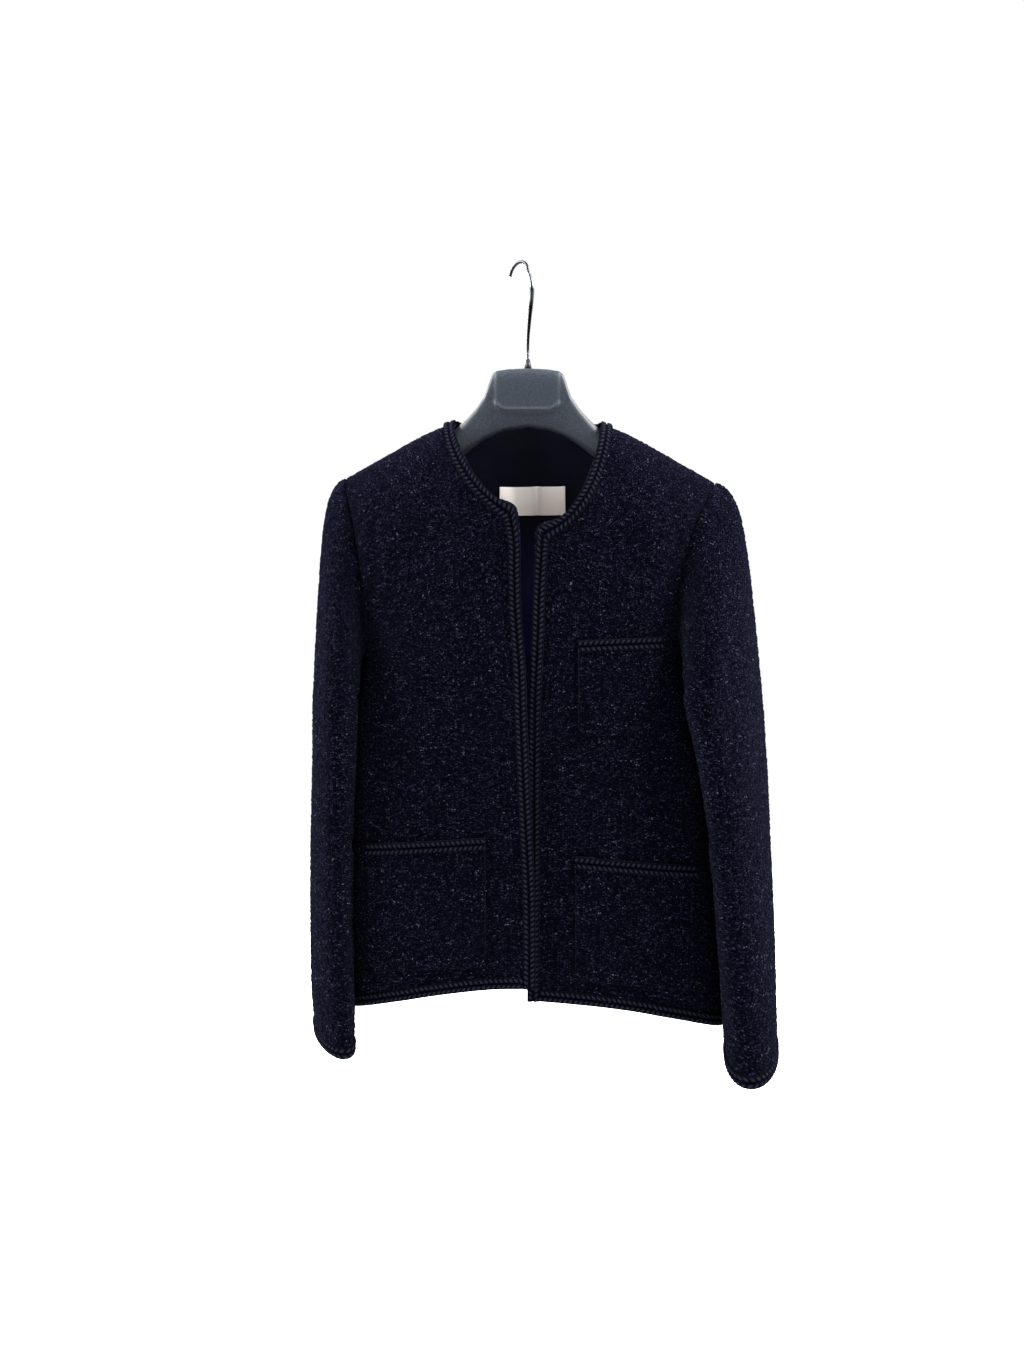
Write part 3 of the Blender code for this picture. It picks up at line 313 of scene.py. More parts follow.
def backGrid():
    # rows from the hem to the shoulders, from side to side; columns by sines about the neck
    leftX, leftDown = outerBorder("left", "back")
    rightX, rightDown = outerBorder("right", "back")
    beside = body["neckHalf"] + body["braidWidth"]
    share = np.sin(np.arange(body["backOuterColumns"]) / (body["backOuterColumns"] - 1) * math.pi / 2)
    neck = np.sin(np.linspace(-1, 1, body["backNeckColumns"] + 1) * math.pi / 2) * body["neckHalf"]
    rows = np.arange(rowCount + 1)
    x = np.concatenate((-beside + (leftX[:, None] + beside) * share[::-1], np.tile(neck, (len(rows), 1)),
                        beside + (rightX[:, None] - beside) * share), axis=1)
    span = (x - x[:, :1]) / (x[:, -1:] - x[:, :1])
    first = body["sideRows"]
    # below the underarm: level rows that arch a little towards the hem's middle
    ends = [bodySurface(leftX, leftDown, "back")[:, 2:], bodySurface(rightX, rightDown, "back")[:, 2:]]
    up = np.maximum((rows - 1) / (first - 1), 0.0)
    level = body["backHem"] + (body["underarm"] - body["backHem"]) * up
    level = level + body["braidWidth"] * (rows > 0) * (1 - up)
    arch = 1 - np.abs(2 * span - 1)**2.2
    z = (ends[0] + (ends[1] - ends[0]) * span) * (1 - arch) + level[:, None] * arch
    down = wayDown(x, z, "back")
    # above it: rows that run up to the shoulders and the arch of the back neck
    high = x[first:]
    rise = body["backNeckRise"] * (1 - np.clip(high / body["neckHalf"], -1, 1)**2)
    sideways = body["neckHalf"] * np.sign(high + 1e-9)
    neckZ = ridge(sideways) + rise + body["lean"] * (sideways - high)
    top = np.where(np.abs(high) < body["neckHalf"], wayDown(high, neckZ, "back"), 0.0)
    base = wayDown(high, np.full(high.shape, body["underarm"]), "back")
    tip = np.where(high < 0, -leftX[first:, None], rightX[first:, None])
    near = smoothStep(np.abs(high), body["neckHalf"], tip)
    byEdge = np.where(high < 0, (leftDown[first:] / leftDown[first])[:, None],
                      (rightDown[first:] / rightDown[first])[:, None])
    narrow = body["braidWidth"] / wayDown(body["neckHalf"], body["underarm"], "back")
    byRow = np.concatenate((np.linspace(1, narrow, body["armRows"]), [0.0]))[:, None]
    down[first:] = top + (byRow * (1 - near) + byEdge * near) * (base - top)
    down[first:, 0], down[first:, -1] = leftDown[first:], rightDown[first:]
    return bodySurface(x, down, "back")


sleeves = {"left": {"z": (-803, -791, -690, -600, -520, -455),
                    "centre": (199.5, 200, 202.5, 202, 199.5, 197), "forward": (14, 14, 12, 8, 5, 4),
                    "halfAcross": (15.5, 16.5, 19.6, 22, 24, 26), "halfDeep": (49, 50, 55, 59, 63, 66),
                    "turn": (28, 28, 24, 20, 17, 14), "fullness": 0.6, "cuffTilt": 5.0,
                    "creases": ((-520, 60, 2.5, 16), (-560, 105, 3.0, 14), (-610, 50, 2.5, 18))},
           "right": {"z": (-794, -782, -690, -600, -520, -455),
                     "centre": (219, 218.6, 216, 211.4, 205.6, 197), "forward": (51, 50, 42, 32, 24, 20),
                     "halfAcross": (23, 23.5, 23.5, 24, 25.7, 29.5), "halfDeep": (49, 50, 54, 58, 62, 65),
                     "turn": (10, 11, 20, 24, 27, 30), "fullness": 0.68, "cuffTilt": 14.0,
                     "creases": ((-505, 70, 2.5, 16), (-548, 115, 3.0, 14), (-600, 60, 3.0, 18))},
           "capSteps": (0.0, 0.06, 0.14, 0.25, 0.4, 0.58, 0.78, 1.0), "rows": 9, "clear": 3.2, "give": 3.0}


def bodySide(y, z, side):
    # how far out the body reaches at a depth and a height: its superellipse, and above the underarm
    # no further than the armhole
    half = curveThrough(z, girth["z"], girth[side])
    deep = np.where(y < 0, curveThrough(z, girth["z"], girth["front"]),
                    curveThrough(z, girth["z"], girth["back"]))
    near = np.clip(np.abs(y) / deep, 0, 1)
    outline = half * (1 - near**body["squareness"])**(1 / body["squareness"])
    border = curveThrough(z, armhole["z"], armhole[side])
    return np.where(z > body["underarm"], np.minimum(outline, border), outline)


def sleeveRing(side, z, angles):
    # an ellipse from the table, pinched at its creases, turned about the upright, tilted at the cuff
    table = sleeves[side]
    across = curveThrough(z, table["z"], table["halfAcross"]) * np.cos(angles)
    deep = curveThrough(z, table["z"], table["halfDeep"]) * np.sin(angles)
    for height, middle, depth, reach in table["creases"]:
        pinch = depth * math.exp(-((z - height) / reach)**2)
        pinch = pinch * np.exp(-((angles - math.radians(middle)) / 0.7)**2)
        across, deep = across - pinch * np.cos(angles), deep - pinch * np.sin(angles)
    turn = math.radians(curveThrough(z, table["z"], table["turn"]))
    out = curveThrough(z, table["z"], table["centre"]) + across * math.cos(turn) - deep * math.sin(turn)
    forward = curveThrough(z, table["z"], table["forward"]) + across * math.sin(turn) + deep * math.cos(turn)
    tilt = table["cuffTilt"] * smoothStep(-z, 560.0, 808.0) * np.sin(angles)
    ring = np.stack((out, -forward, z - tilt), axis=-1)
    # where it would reach into the body it comes to lie softly on it: the smooth maximum of the two
    over = ring[:, 0] - bodySide(ring[:, 1], ring[:, 2], side) - sleeves["clear"]
    ring[:, 0] += 0.5 * (np.sqrt(over**2 + sleeves["give"]**2) - over)
    return ring


def sleeveGrid(side, front, back):
    # the cap runs from the armhole's loop to the ring at the bicep: out quickly and then evenly, level
    # by a sine and down by a power; below it come plain rings to the cuff
    sign, table, first = fronts[side]["sign"], sleeves[side], body["sideRows"]
    backArm = (back[first:, 0] if sign < 0 else back[first:, -1])[1:-1]
    loop = np.concatenate((front[first:, -1][::-1], backArm)) * np.array((sign, 1.0, 1.0))
    loop[0, 1] = loop[body["armRows"], 1] = 0.0
    loop[:, 0] += body["seam"]
    angles = np.linspace(0, 2 * math.pi, len(loop), endpoint=False)
    bicep = sleeveRing(side, table["z"][-1], angles)
    dropPower = 0.8 + 0.45 * smoothStep(loop[:, 2], body["underarm"], body["underarm"] + 90)
    rings = []
    for t in sleeves["capSteps"]:
        out = table["fullness"] * (1 - (1 - t)**9) + (1 - table["fullness"]) * t
        shares = np.broadcast_arrays(out, math.sin(t * math.pi / 2), t**dropPower)
        ring = loop + (bicep - loop) * np.stack(shares, axis=-1)
        if 0 < t < 1:
            apart = body["seam"] + (sleeves["clear"] - body["seam"]) * t
            ring[:, 0] = np.maximum(ring[:, 0], bodySide(ring[:, 1], ring[:, 2], side) + apart)
        rings.append(ring)
    cuff = table["z"][0]
    heights = np.linspace(table["z"][-1], cuff + body["braidWidth"], sleeves["rows"] + 1)[1:]
    rings += [sleeveRing(side, z, angles) for z in (*heights, cuff)]
    return np.stack(rings) * np.array((sign, 1.0, 1.0))


def places(length, spacing, edges=(0.4, 1.0, 1.8)):
    # 3k + 1 places along a length, closer at its two ends so that an edge can round over
    spans = 3 * math.ceil(((length - 2 * edges[-1]) / spacing + 2 * len(edges)) / 3)
    middle = np.linspace(edges[-1], length - edges[-1], spans + 1 - 2 * len(edges))
    close = np.array((0.0,) + edges[:-1])
    return np.concatenate((close, middle, length - close[::-1]))


def refine(grid, spacing, closed=False):
    # smooth curves through a coarse grid's rows, then through its columns; u and v are real lengths
    knotsV = lengthsAlong(grid[..., :3])
    v = places(knotsV[-1], spacing)
    fine = curveThrough(v, knotsV, grid).swapaxes(0, 1)
    if closed:
        fine = np.concatenate((fine[-3:], fine, fine[:4]))
    knotsU = lengthsAlong(fine[..., :3])
    if closed:
        knotsU -= knotsU[3]
        u = np.linspace(0, knotsU[-4], round(knotsU[-4] / spacing / 3) * 3 + 1)
    else:
        u = places(knotsU[-1], spacing)
    fine = curveThrough(u, knotsU, fine).swapaxes(0, 1)
    return fine, np.broadcast_to(u, (len(v), len(u))), np.broadcast_to(v[:, None], (len(v), len(u)))


def quadsOf(at):
    # a grid of point numbers gives one face for each cell, its corners in turn round the cell
    return np.stack((at[:-1, :-1], at[:-1, 1:], at[1:, 1:], at[1:, :-1]), axis=-1).reshape(-1, 4)


def outwards(points, faces):
    # a closed mesh's volume is a sum of wedges, each a middle-to-corner times the cross product of the
    # two next ones; where it comes out negative every face is turned round
    corners, total = points - points.mean(axis=0), 0.0
    for part in faces:
        for k in range(1, part.shape[1] - 1):
            a, b, c = (corners[part[:, j]] for j in (0, k, k + 1))
            total += float(np.sum(a * np.cross(b, c)))
    return [part[:, ::-1] for part in faces] if total < 0 else faces


def putMesh(name, node, points, faces, finishes, uv=None, faceFinish=None, values=None):
    # faces is a list of arrays, one row of point numbers each; uv is a pair for each point, in mm
    points = np.asarray(points, float).reshape(-1, 3)
    faces = outwards(points, faces)
    used, corners = np.unique(np.concatenate([part.ravel() for part in faces]), return_inverse=True)
    sizes = np.concatenate([np.full(len(part), part.shape[1], np.int32) for part in faces])
    mesh = bpy.data.meshes.new(name)
    mesh.vertices.add(len(used))
    mesh.vertices.foreach_set("co", ((points[used] - seat) / 1000).astype(np.float32).ravel())
    mesh.loops.add(len(corners))
    mesh.loops.foreach_set("vertex_index", corners.astype(np.int32))
    mesh.polygons.add(len(sizes))
    mesh.polygons.foreach_set("loop_start", np.concatenate(([0], np.cumsum(sizes)[:-1])).astype(np.int32))
    mesh.polygons.foreach_set("loop_total", sizes)
    mesh.polygons.foreach_set("use_smooth", np.ones(len(sizes), bool))
    for finish in finishes:
        mesh.materials.append(finish)
    if faceFinish is not None:
        mesh.polygons.foreach_set("material_index", faceFinish)
    if uv is not None:
        layer = mesh.uv_layers.new(name="cloth")
        layer.data.foreach_set("uv", np.asarray(uv, np.float32).reshape(-1, 2)[used][corners].ravel())
    for key, value in (values or {}).items():
        attribute = mesh.attributes.new(key, "FLOAT", "POINT")
        attribute.data.foreach_set("value", np.asarray(value, np.float32).ravel()[used])
    mesh.update(calc_edges=True)
    mesh.validate()
    piece = bpy.data.objects.new(name, mesh)
    scene.collection.objects.link(piece)
    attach(piece, "root")
    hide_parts(node)
    print(name, "triangles:", int((sizes - 2).sum()))
    return piece


def clothWall(name, node, outer, inner, uv, finishes, closed=False, values=None):
    # a closed wall of cloth: a fine outer grid, an inner grid of every third line, and a rim where
    # three outer spans meet each inner one in four triangles; the last finish is the inner side's
    rows, columns = outer.shape[:2]
    fine = np.arange(rows * columns).reshape(rows, columns)
    coarse = np.arange(inner[..., 0].size).reshape(inner.shape[:2]) + rows * columns
    if closed:
        fine[:, -1], coarse[:, -1] = fine[:, 0], coarse[:, 0]
    rims = [(fine[0], coarse[0]), (fine[-1][::-1], coarse[-1][::-1])]
    if not closed:
        rims += [(fine[::-1, 0], coarse[::-1, 0]), (fine[:, -1], coarse[:, -1])]
    fans = []
    for near, far in rims:
        a, b, c, d = near[0:-1:3], near[1::3], near[2::3], near[3::3]
        p, q = far[:-1], far[1:]
        fans += [np.stack(three, axis=-1) for three in ((p, b, a), (p, c, b), (p, q, c), (q, d, c))]
    faces = [quadsOf(fine), quadsOf(coarse.T), np.concatenate(fans)]
    finish = np.repeat(np.array((0, len(finishes) - 1, 0), np.int32), [len(part) for part in faces])
    points = np.concatenate((outer.reshape(-1, 3), inner.reshape(-1, 3)))
    uv = np.concatenate((uv.reshape(-1, 2), uv[::3, ::3].reshape(-1, 2)))
    values = {key: np.concatenate((value.ravel(), value[::3, ::3].ravel()))
              for key, value in (values or {}).items()}
    return putMesh(name, node, points, faces, finishes, uv, finish, values)


def linear(code):
    # sRGB hex to linear: a straight start, then a power of 2.4
    channels = np.array([int(code[k:k + 2], 16) for k in (1, 3, 5)]) / 255
    channels = np.where(channels <= 0.04045, channels / 12.92, ((channels + 0.055) / 1.055)**2.4)
    return (*channels.tolist(), 1.0)


def addNode(tree, kind, settings=None, links=None, stops=(), into=None):
    # links: this node's input -> (other node, its output); stops: places and colours along a ramp;
    # into: an input further on that takes this node's first output
    node = tree.nodes.new("ShaderNode" + kind)
    for key, value in (settings or {}).items():
        if isinstance(key, str) and hasattr(node, key):
            setattr(node, key, value)
        else:
            node.inputs[key].default_value = value
    for key, (other, output) in (links or {}).items():
        tree.links.new(other.outputs[output], node.inputs[key])
    while stops and len(node.color_ramp.elements) < len(stops):
        node.color_ramp.elements.new(0.5)
    for k, (place, code) in enumerate(stops):
        node.color_ramp.elements[k].position = place
        node.color_ramp.elements[k].color = linear(code)
    if into:
        tree.links.new(node.outputs[0], into)
    return node


def newFinish(name, **sockets):
    # a material whose shader holds the given constants. The cloth's UV map is in mm, so a pattern's
    # scale is 1 over the width and the height of its cell in mm.
    made = bpy.data.materials.new(name)
    made.use_nodes = True
    shader = made.node_tree.nodes["Principled BSDF"]
    for key, value in sockets.items():
        shader.inputs[key.replace("_", " ")].default_value = value
    return made, made.node_tree, shader


def boucleTweed():
    # knotted wool yarns in navy and black with paler curls: a dead-matt, knobbly cloth with a faint
    # halo of fibre. A curl is 2.3 x 1.55 mm, and paler yarn gathers in runs of 16 x 6 mm.
    made, tree, shader = newFinish("boucleTweed", Roughness=0.95, Specular_IOR_Level=0.0,
                                   Sheen_Weight=0.012, Sheen_Roughness=0.5, Sheen_Tint=linear("#A9ADCB"))
    uv = addNode(tree, "UVMap", {"uv_map": "cloth"})
    knots = addNode(tree, "Mapping", {"Scale": (1 / 2.3, 1 / 1.55, 1.0)}, {"Vector": (uv, 0)})
    wander = addNode(tree, "TexNoise", {"noise_dimensions": "2D", "Scale": 0.55, "Detail": 2.0},
                     {"Vector": (knots, 0)})
    shaken = addNode(tree, "VectorMath", {"operation": "MULTIPLY_ADD", 1: (1.6, 1.6, 0.0)},
                     {0: (wander, "Color"), 2: (knots, 0)})
    curls = addNode(tree, "TexVoronoi", {"voronoi_dimensions": "2D", "Scale": 1.0, "Randomness": 1.0},
                    {"Vector": (shaken, 0)})
    curl = addNode(tree, "MapRange", {"interpolation_type": "SMOOTHSTEP", "From Min": 0.62,
                                      "From Max": 0.12, "To Min": 0.0, "To Max": 1.0},
                   {"Value": (curls, "Distance")})
    chance = addNode(tree, "SeparateColor", links={"Color": (curls, "Color")})
    weft = addNode(tree, "Mapping", {"Scale": (1 / 16, 1 / 6, 1.0)}, {"Vector": (uv, 0)})
    patches = addNode(tree, "TexNoise", {"noise_dimensions": "2D", "Scale": 1.0, "Detail": 2.0},
                      {"Vector": (weft, 0)})
    shifted = addNode(tree, "Math", {"operation": "MULTIPLY_ADD", 1: 0.6},
                      {0: (patches, 0), 2: (chance, 0)})
    spread = addNode(tree, "MapRange", {"From Min": 0.3, "From Max": 1.4, "To Min": 0.0, "To Max": 1.0},
                     {"Value": (shifted, 0)})
    pale = addNode(tree, "Math", {"operation": "POWER", 1: 1.7}, {0: (spread, 0)})
    fleck = addNode(tree, "Math", {"operation": "MULTIPLY"}, {0: (pale, 0), 1: (curl, 0)})
    # painted shade and light: the colour is darker down between the yarn's loops and a little paler on their
    # tops
    relief = addNode(tree, "Attribute", {"attribute_name": "relief"})
    paintedLoopShade = addNode(tree, "MapRange", {"From Min": 0.0, "From Max": 0.9, "To Min": 0.45, "To Max": 1.15},
                    {"Value": (relief, "Fac")})
    shown = addNode(tree, "Math", {"operation": "MULTIPLY"}, {0: (fleck, 0), 1: (paintedLoopShade, 0)})
    addNode(tree, "ValToRGB", links={"Fac": (shown, 0)}, into=shader.inputs["Base Color"],
            stops=((0.0, "#020206"), (0.1, "#04040B"), (0.35, "#0C0C17"), (0.7, "#1C1D29"), (1.0, "#43444F")))
    height = addNode(tree, "Math", {"operation": "MULTIPLY_ADD", 1: 0.6}, {0: (curl, 0), 2: (fleck, 0)})
    addNode(tree, "Bump", {"Strength": 0.7, "Distance": 0.0009}, {"Height": (height, 0)},
            into=shader.inputs["Normal"])
    return made


def plaitedBraid():
    # two rows of plaited viscose cord: smoother than the cloth and matt, with painted shade down in the
    # plait's hollows and a painted highlight on top of each strand;
    # its fibres are drawn 0.8 mm apart, since real ones are too fine to show
    made, tree, shader = newFinish("plaitedViscoseBraid", Roughness=0.8, Specular_IOR_Level=0.0,
                                   Sheen_Weight=0.012, Sheen_Roughness=0.5, Sheen_Tint=linear("#A9ADCB"))
    uv = addNode(tree, "UVMap", {"uv_map": "cloth"})
    fibres = addNode(tree, "TexNoise", {"noise_dimensions": "2D", "Scale": 1.3, "Detail": 3.0},
                     {"Vector": (uv, 0)})
    relief = addNode(tree, "Attribute", {"attribute_name": "relief"})
    fibresAndPaintedLight = addNode(tree, "Math", {"operation": "MULTIPLY_ADD", 1: 0.5},
                   {0: (fibres, 0), 2: (relief, "Fac")})
    # two stops share a place: the very tops of the strands turn pale at once, a painted highlight
    addNode(tree, "ValToRGB", links={"Fac": (fibresAndPaintedLight, 0)}, into=shader.inputs["Base Color"],
            stops=((0.3, "#030306"), (0.75, "#05050A"), (1.0, "#07080E"), (1.0, "#13151E")))
    addNode(tree, "Bump", {"Strength": 0.5, "Distance": 0.0004}, {"Height": (fibres, 0)},
            into=shader.inputs["Normal"])
    return made


def satinLining():
    # woven satin: navy and smooth, with a broad soft shine and floats 2.5 mm long on 0.25 mm threads;
    # nearly black behind the neck, a painted shade where the hanger shades it, paler lower down
    made, tree, shader = newFinish("navySatin", Roughness=0.45, Specular_IOR_Level=0.03)
    uv = addNode(tree, "UVMap", {"uv_map": "cloth"})
    rib = addNode(tree, "Mapping", {"Scale": (1 / 2.5, 1 / 0.25, 1.0)}, {"Vector": (uv, 0)})
    weave = addNode(tree, "TexNoise", {"noise_dimensions": "2D", "Scale": 1.0, "Detail": 2.0},
                    {"Vector": (rib, 0)})
    parts = addNode(tree, "SeparateXYZ", links={"Vector": (addNode(tree, "TexCoord"), "Object")})
    # painted shade by height: darkest behind the neck, paler lower down
    paintedNeckShadeFade = addNode(tree, "MapRange", {"interpolation_type": "SMOOTHSTEP", "From Min": -0.24,
                                       "From Max": -0.34, "To Min": 0.0, "To Max": 0.7},
                    {"Value": (parts, "Z")})
    share = addNode(tree, "Math", {"operation": "MULTIPLY_ADD", 1: 0.3}, {0: (weave, 0), 2: (paintedNeckShadeFade, 0)})
    addNode(tree, "ValToRGB", links={"Fac": (share, 0)}, into=shader.inputs["Base Color"],
            stops=((0.0, "#020308"), (0.3, "#050612"), (0.8, "#1A1C3D"), (1.0, "#26284F")))
    addNode(tree, "Bump", {"Strength": 0.1, "Distance": 0.0003}, {"Height": (weave, 0)},
            into=shader.inputs["Normal"])
    return made


def labelRibbon():
    # damask ribbon: warm off-white with fine crosswise threads, six to the millimetre, left bare
    made, tree, shader = newFinish("wovenRibbon", Roughness=0.6, Specular_IOR_Level=0.3)
    uv = addNode(tree, "UVMap", {"uv_map": "cloth"})
    thread = addNode(tree, "Mapping", {"Scale": (1.0, 6.0, 1.0)}, {"Vector": (uv, 0)})
    weave = addNode(tree, "TexNoise", {"noise_dimensions": "2D", "Scale": 1.0, "Detail": 2.0},
                    {"Vector": (thread, 0)})
    addNode(tree, "ValToRGB", links={"Fac": (weave, 0)}, into=shader.inputs["Base Color"],
            stops=((0.25, "#C4BBB4"), (0.75, "#DDD5CF")))
    addNode(tree, "Bump", {"Strength": 0.15, "Distance": 0.0003}, {"Height": (weave, 0)},
            into=shader.inputs["Normal"])
    return made


def mouldedPlastic(name, dark, pale):
    # injection-moulded ABS with a spark-eroded grain that keeps it matt; the grain is drawn 1.25 mm
    # across, coarser than real, so that it shows
    made, tree, shader = newFinish(name, Roughness=0.55, Specular_IOR_Level=0.22)
    grain = addNode(tree, "TexNoise", {"Scale": 1 / 0.00125, "Detail": 3.0},
                    {"Vector": (addNode(tree, "TexCoord"), "Object")})
    addNode(tree, "ValToRGB", links={"Fac": (grain, 0)}, into=shader.inputs["Base Color"],
            stops=((0.35, dark), (0.65, pale)))
    addNode(tree, "Bump", {"Strength": 0.2, "Distance": 0.0002}, {"Height": (grain, 0)},
            into=shader.inputs["Normal"])
    return made


def polishedWire():
    # chromed steel wire with painted reflections: bright at the collar and the loop, dark down the stem, with
    # painted glints on its bulge;
    # its bands go by height, with ragged borders a few millimetres across
    made, tree, shader = newFinish("chromedSteel", Metallic=1.0, Roughness=0.3)
    place = addNode(tree, "TexCoord")
    parts = addNode(tree, "SeparateXYZ", links={"Vector": (place, "Object")})
    # noise that rags the painted reflections' borders and scatters painted glints
    glintNoise = addNode(tree, "TexNoise", {"Scale": 260.0, "Detail": 2.0}, {"Vector": (place, "Object")})
    level = addNode(tree, "Math", {"operation": "MULTIPLY_ADD", 1: 0.012}, {0: (glintNoise, 0), 2: (parts, "Z")})
    share = addNode(tree, "MapRange", {"From Min": -0.11, "From Max": 0.01, "To Min": 0.0, "To Max": 1.0},
                    {"Value": (level, 0)})
    addNode(tree, "ValToRGB", links={"Fac": (share, 0)}, into=shader.inputs["Base Color"],
            stops=((0.12, "#55565A"), (0.15, "#1A1A1D"), (0.3, "#0B0B0C"), (0.57, "#070708"),
                   (0.63, "#3C3E42"), (0.7, "#141518"), (0.77, "#4A4C50"), (0.86, "#1C1D20")))
    return made


finishes = {"tweed": boucleTweed(), "braid": plaitedBraid(), "lining": satinLining(), "label": labelRibbon(),
            "plastic": mouldedPlastic("mattePlastic", "#0C1219", "#20262F"),     # slate blue-grey
            "ferrule": mouldedPlastic("darkPlastic", "#060708", "#0E1013"), "chrome": polishedWire()}
print("finishes made")


boucle = {"spacing": {"front": 1.55, "back": 1.75, "sleeve": 1.6},   # between the mesh's points
          "height": {"front": 1.4, "back": 1.5, "sleeve": 1.9}, "loopWide": 4.6, "loopHigh": 3.0,
          "table": 128, "edgeFade": 3.0}


def loopRelief(u, v, seed):
    # the highest of the yarn's loops over a point: domes on a shaken lattice, each with its own height
    count = boucle["table"]
    table = np.random.default_rng(seed).random((count, count, 3))
    a, b = u / boucle["loopWide"], v / boucle["loopHigh"]
    i, j = np.floor(a).astype(int), np.floor(b).astype(int)
    height = np.zeros(a.shape)
    for di in (-1, 0, 1):
        for dj in (-1, 0, 1):
            cell = table[(i + di) % count, (j + dj) % count]
            away = (a - i - di - 0.15 - 0.7 * cell[..., 0])**2 + (b - j - dj - 0.15 - 0.7 * cell[..., 1])**2
            dome = (0.35 + 0.65 * cell[..., 2]) * np.sqrt(np.clip(1 - away / 0.5, 0, 1))
            height = np.maximum(height, dome)
    return height


def rounded(u, v, closed, radius, drop):
    # a circle's fall towards the nearest border, and how much of the relief is left there
    near = np.minimum(v, v.max() - v)
    if not closed:
        near = np.minimum(near, np.minimum(u, u.max() - u))
    t = np.clip(1 - near / radius, 0, 1)
    return drop * (1 - np.sqrt(1 - t**2)), smoothStep(near, 0.0, boucle["edgeFade"])


def sleevePattern(points):
    # real lengths up each column from the cuff, and both ways round from the outer side, so that the
    # pattern isn't drawn out over the cap and meets itself under the arm
    down, across = (np.linalg.norm(np.diff(points, axis=way), axis=-1) for way in (0, 1))
    v = np.pad(np.cumsum(down[::-1], axis=0)[::-1], ((0, 1), (0, 0)))
    u = np.pad(np.cumsum(across, axis=1), ((0, 0), (1, 0)))
    return np.where(u > u[:, -1:] / 2, u - u[:, -1:], u), v


def tweedPanel(name, node, grid, inward, seed, closed=False, thick=body["cloth"], edge=(2.6, 2.1)):
    # a panel's grid made fine, creased, raised by the yarn's loops and rounded over at its cut edges,
    # with its inner side a cloth's thickness further in; pockets alone have no lining
    kind = node.split("_")[0].replace("pocket", "front")
    both, u, v = refine(np.concatenate((grid, inward), axis=-1), boucle["spacing"][kind], closed)
    points, inwards = both[..., :3], unit(both[..., 3:])
    normals = unit(np.cross(np.gradient(points, axis=1), np.gradient(points, axis=0)))
    normals = normals * np.sign(np.sum(normals * -inwards))
    if closed:
        normals[:, 0] = normals[:, -1] = unit(normals[:, 1] + normals[:, -2])
    along = (u, v) if closed else (points[..., 0], points[..., 2])
    table = creases[node if kind == "sleeve" else kind]
    points = points - inwards * foldHeight(*along, table)[..., None]
    drop, clear = rounded(u, v, closed, *edge)
    if closed:
        u, v = sleevePattern(points)
    relief = loopRelief(u, v, seed)
    raised = relief * boucle["height"][kind] * clear
    outer = points + normals * raised[..., None] + inwards * drop[..., None]
    inner = (points + inwards * thick)[::3, ::3]
    made = [finishes["tweed"]] if "pocket" in node else [finishes["tweed"], finishes["lining"]]
    # the loops' relief also goes to the finish, which paints shade between them and light on their tops
    return clothWall(name, node, outer, inner, np.stack((u, v), axis=-1), made, closed,
                     {"relief": relief})


def armholeInward(points, aside):
    # at the armhole the wall's thickness points to the middle of the hole, and where that is nearly
    # upright, at the underarm, it turns sideways
    inward = np.array((0.0, 0.0, (points[:, 2].min() + points[:, 2].max()) / 2)) - points
    inward[:, 0] = 0.0
    inward = unit(inward)
    plumb = smoothStep(inward[:, 2], 0.2, 0.95)[:, None]
    return unit(inward * (1 - plumb) + np.array((aside, 0.0, 0.0)) * plumb)


def seamInward(grid, inward, column, sign):
    # a panel's wall points straight across at its side seam, and into the hole at its armhole
    first = body["sideRows"]
    inward[:first, column] = (-sign, 0.0, 0.0)
    inward[first:, column] = armholeInward(grid[first:, column], -sign)


panels = {}
back = backGrid()
for side in ("left", "right"):
    grid, sign = frontGrid(side), fronts[side]["sign"]
    normals = gridNormals(grid, np.array((0.0, -1.0, 0.0)))
    inward = -normals
    seamInward(grid, inward, -1, sign)
    inward[-1, :, 1] = 0.0
    inward[-1] = unit(inward[-1])
    panels[side] = (grid, normals)
    node = "front_" + side
    tweedPanel("tweedFront" + side.title(), node, grid, inward, 11 + sign)
normals = gridNormals(back, np.array((0.0, 1.0, 0.0)))
inward = -normals
seamInward(back, inward, 0, -1)
seamInward(back, inward, -1, 1)
shoulders = np.abs(back[-1, :, 0]) > body["neckHalf"] - 1
inward[-1, shoulders, 1] = 0.0
inward[-1] = unit(inward[-1])
panels["back"] = (back, normals)
tweedPanel("tweedBack", "back", back, inward, 21)
print("fronts and back made")
sleeveEnds = {}
for side in ("left", "right"):
    grid, sign = sleeveGrid(side, panels[side][0], back), fronts[side]["sign"]
    normals = gridNormals(grid, grid - grid.mean(axis=1, keepdims=True), closed=True)
    inward = -normals
    inward[0] = armholeInward(grid[0], sign)
    sleeveEnds[side] = (grid, normals)
    node = "sleeve_" + side
    tweedPanel("tweedSleeve" + side.title(), node, grid, inward, 31 + sign, closed=True)
print("sleeves made")


# patch pockets: x from the side nearer the middle, top at those two places, and depth
pockets = {"chest": {"side": "right", "x": (53, 132), "top": (-395, -391), "depth": 93},
           "lower_left": {"side": "left", "x": (-37, -157), "top": (-586, -596), "depth": 128},
           "lower_right": {"side": "right", "x": (50, 165), "top": (-603, -613), "depth": 122},
           "corner": 12.0, "rows": 6, "cloth": 2.4, "gap": 0.45, "edge": (3.0, 2.1)}


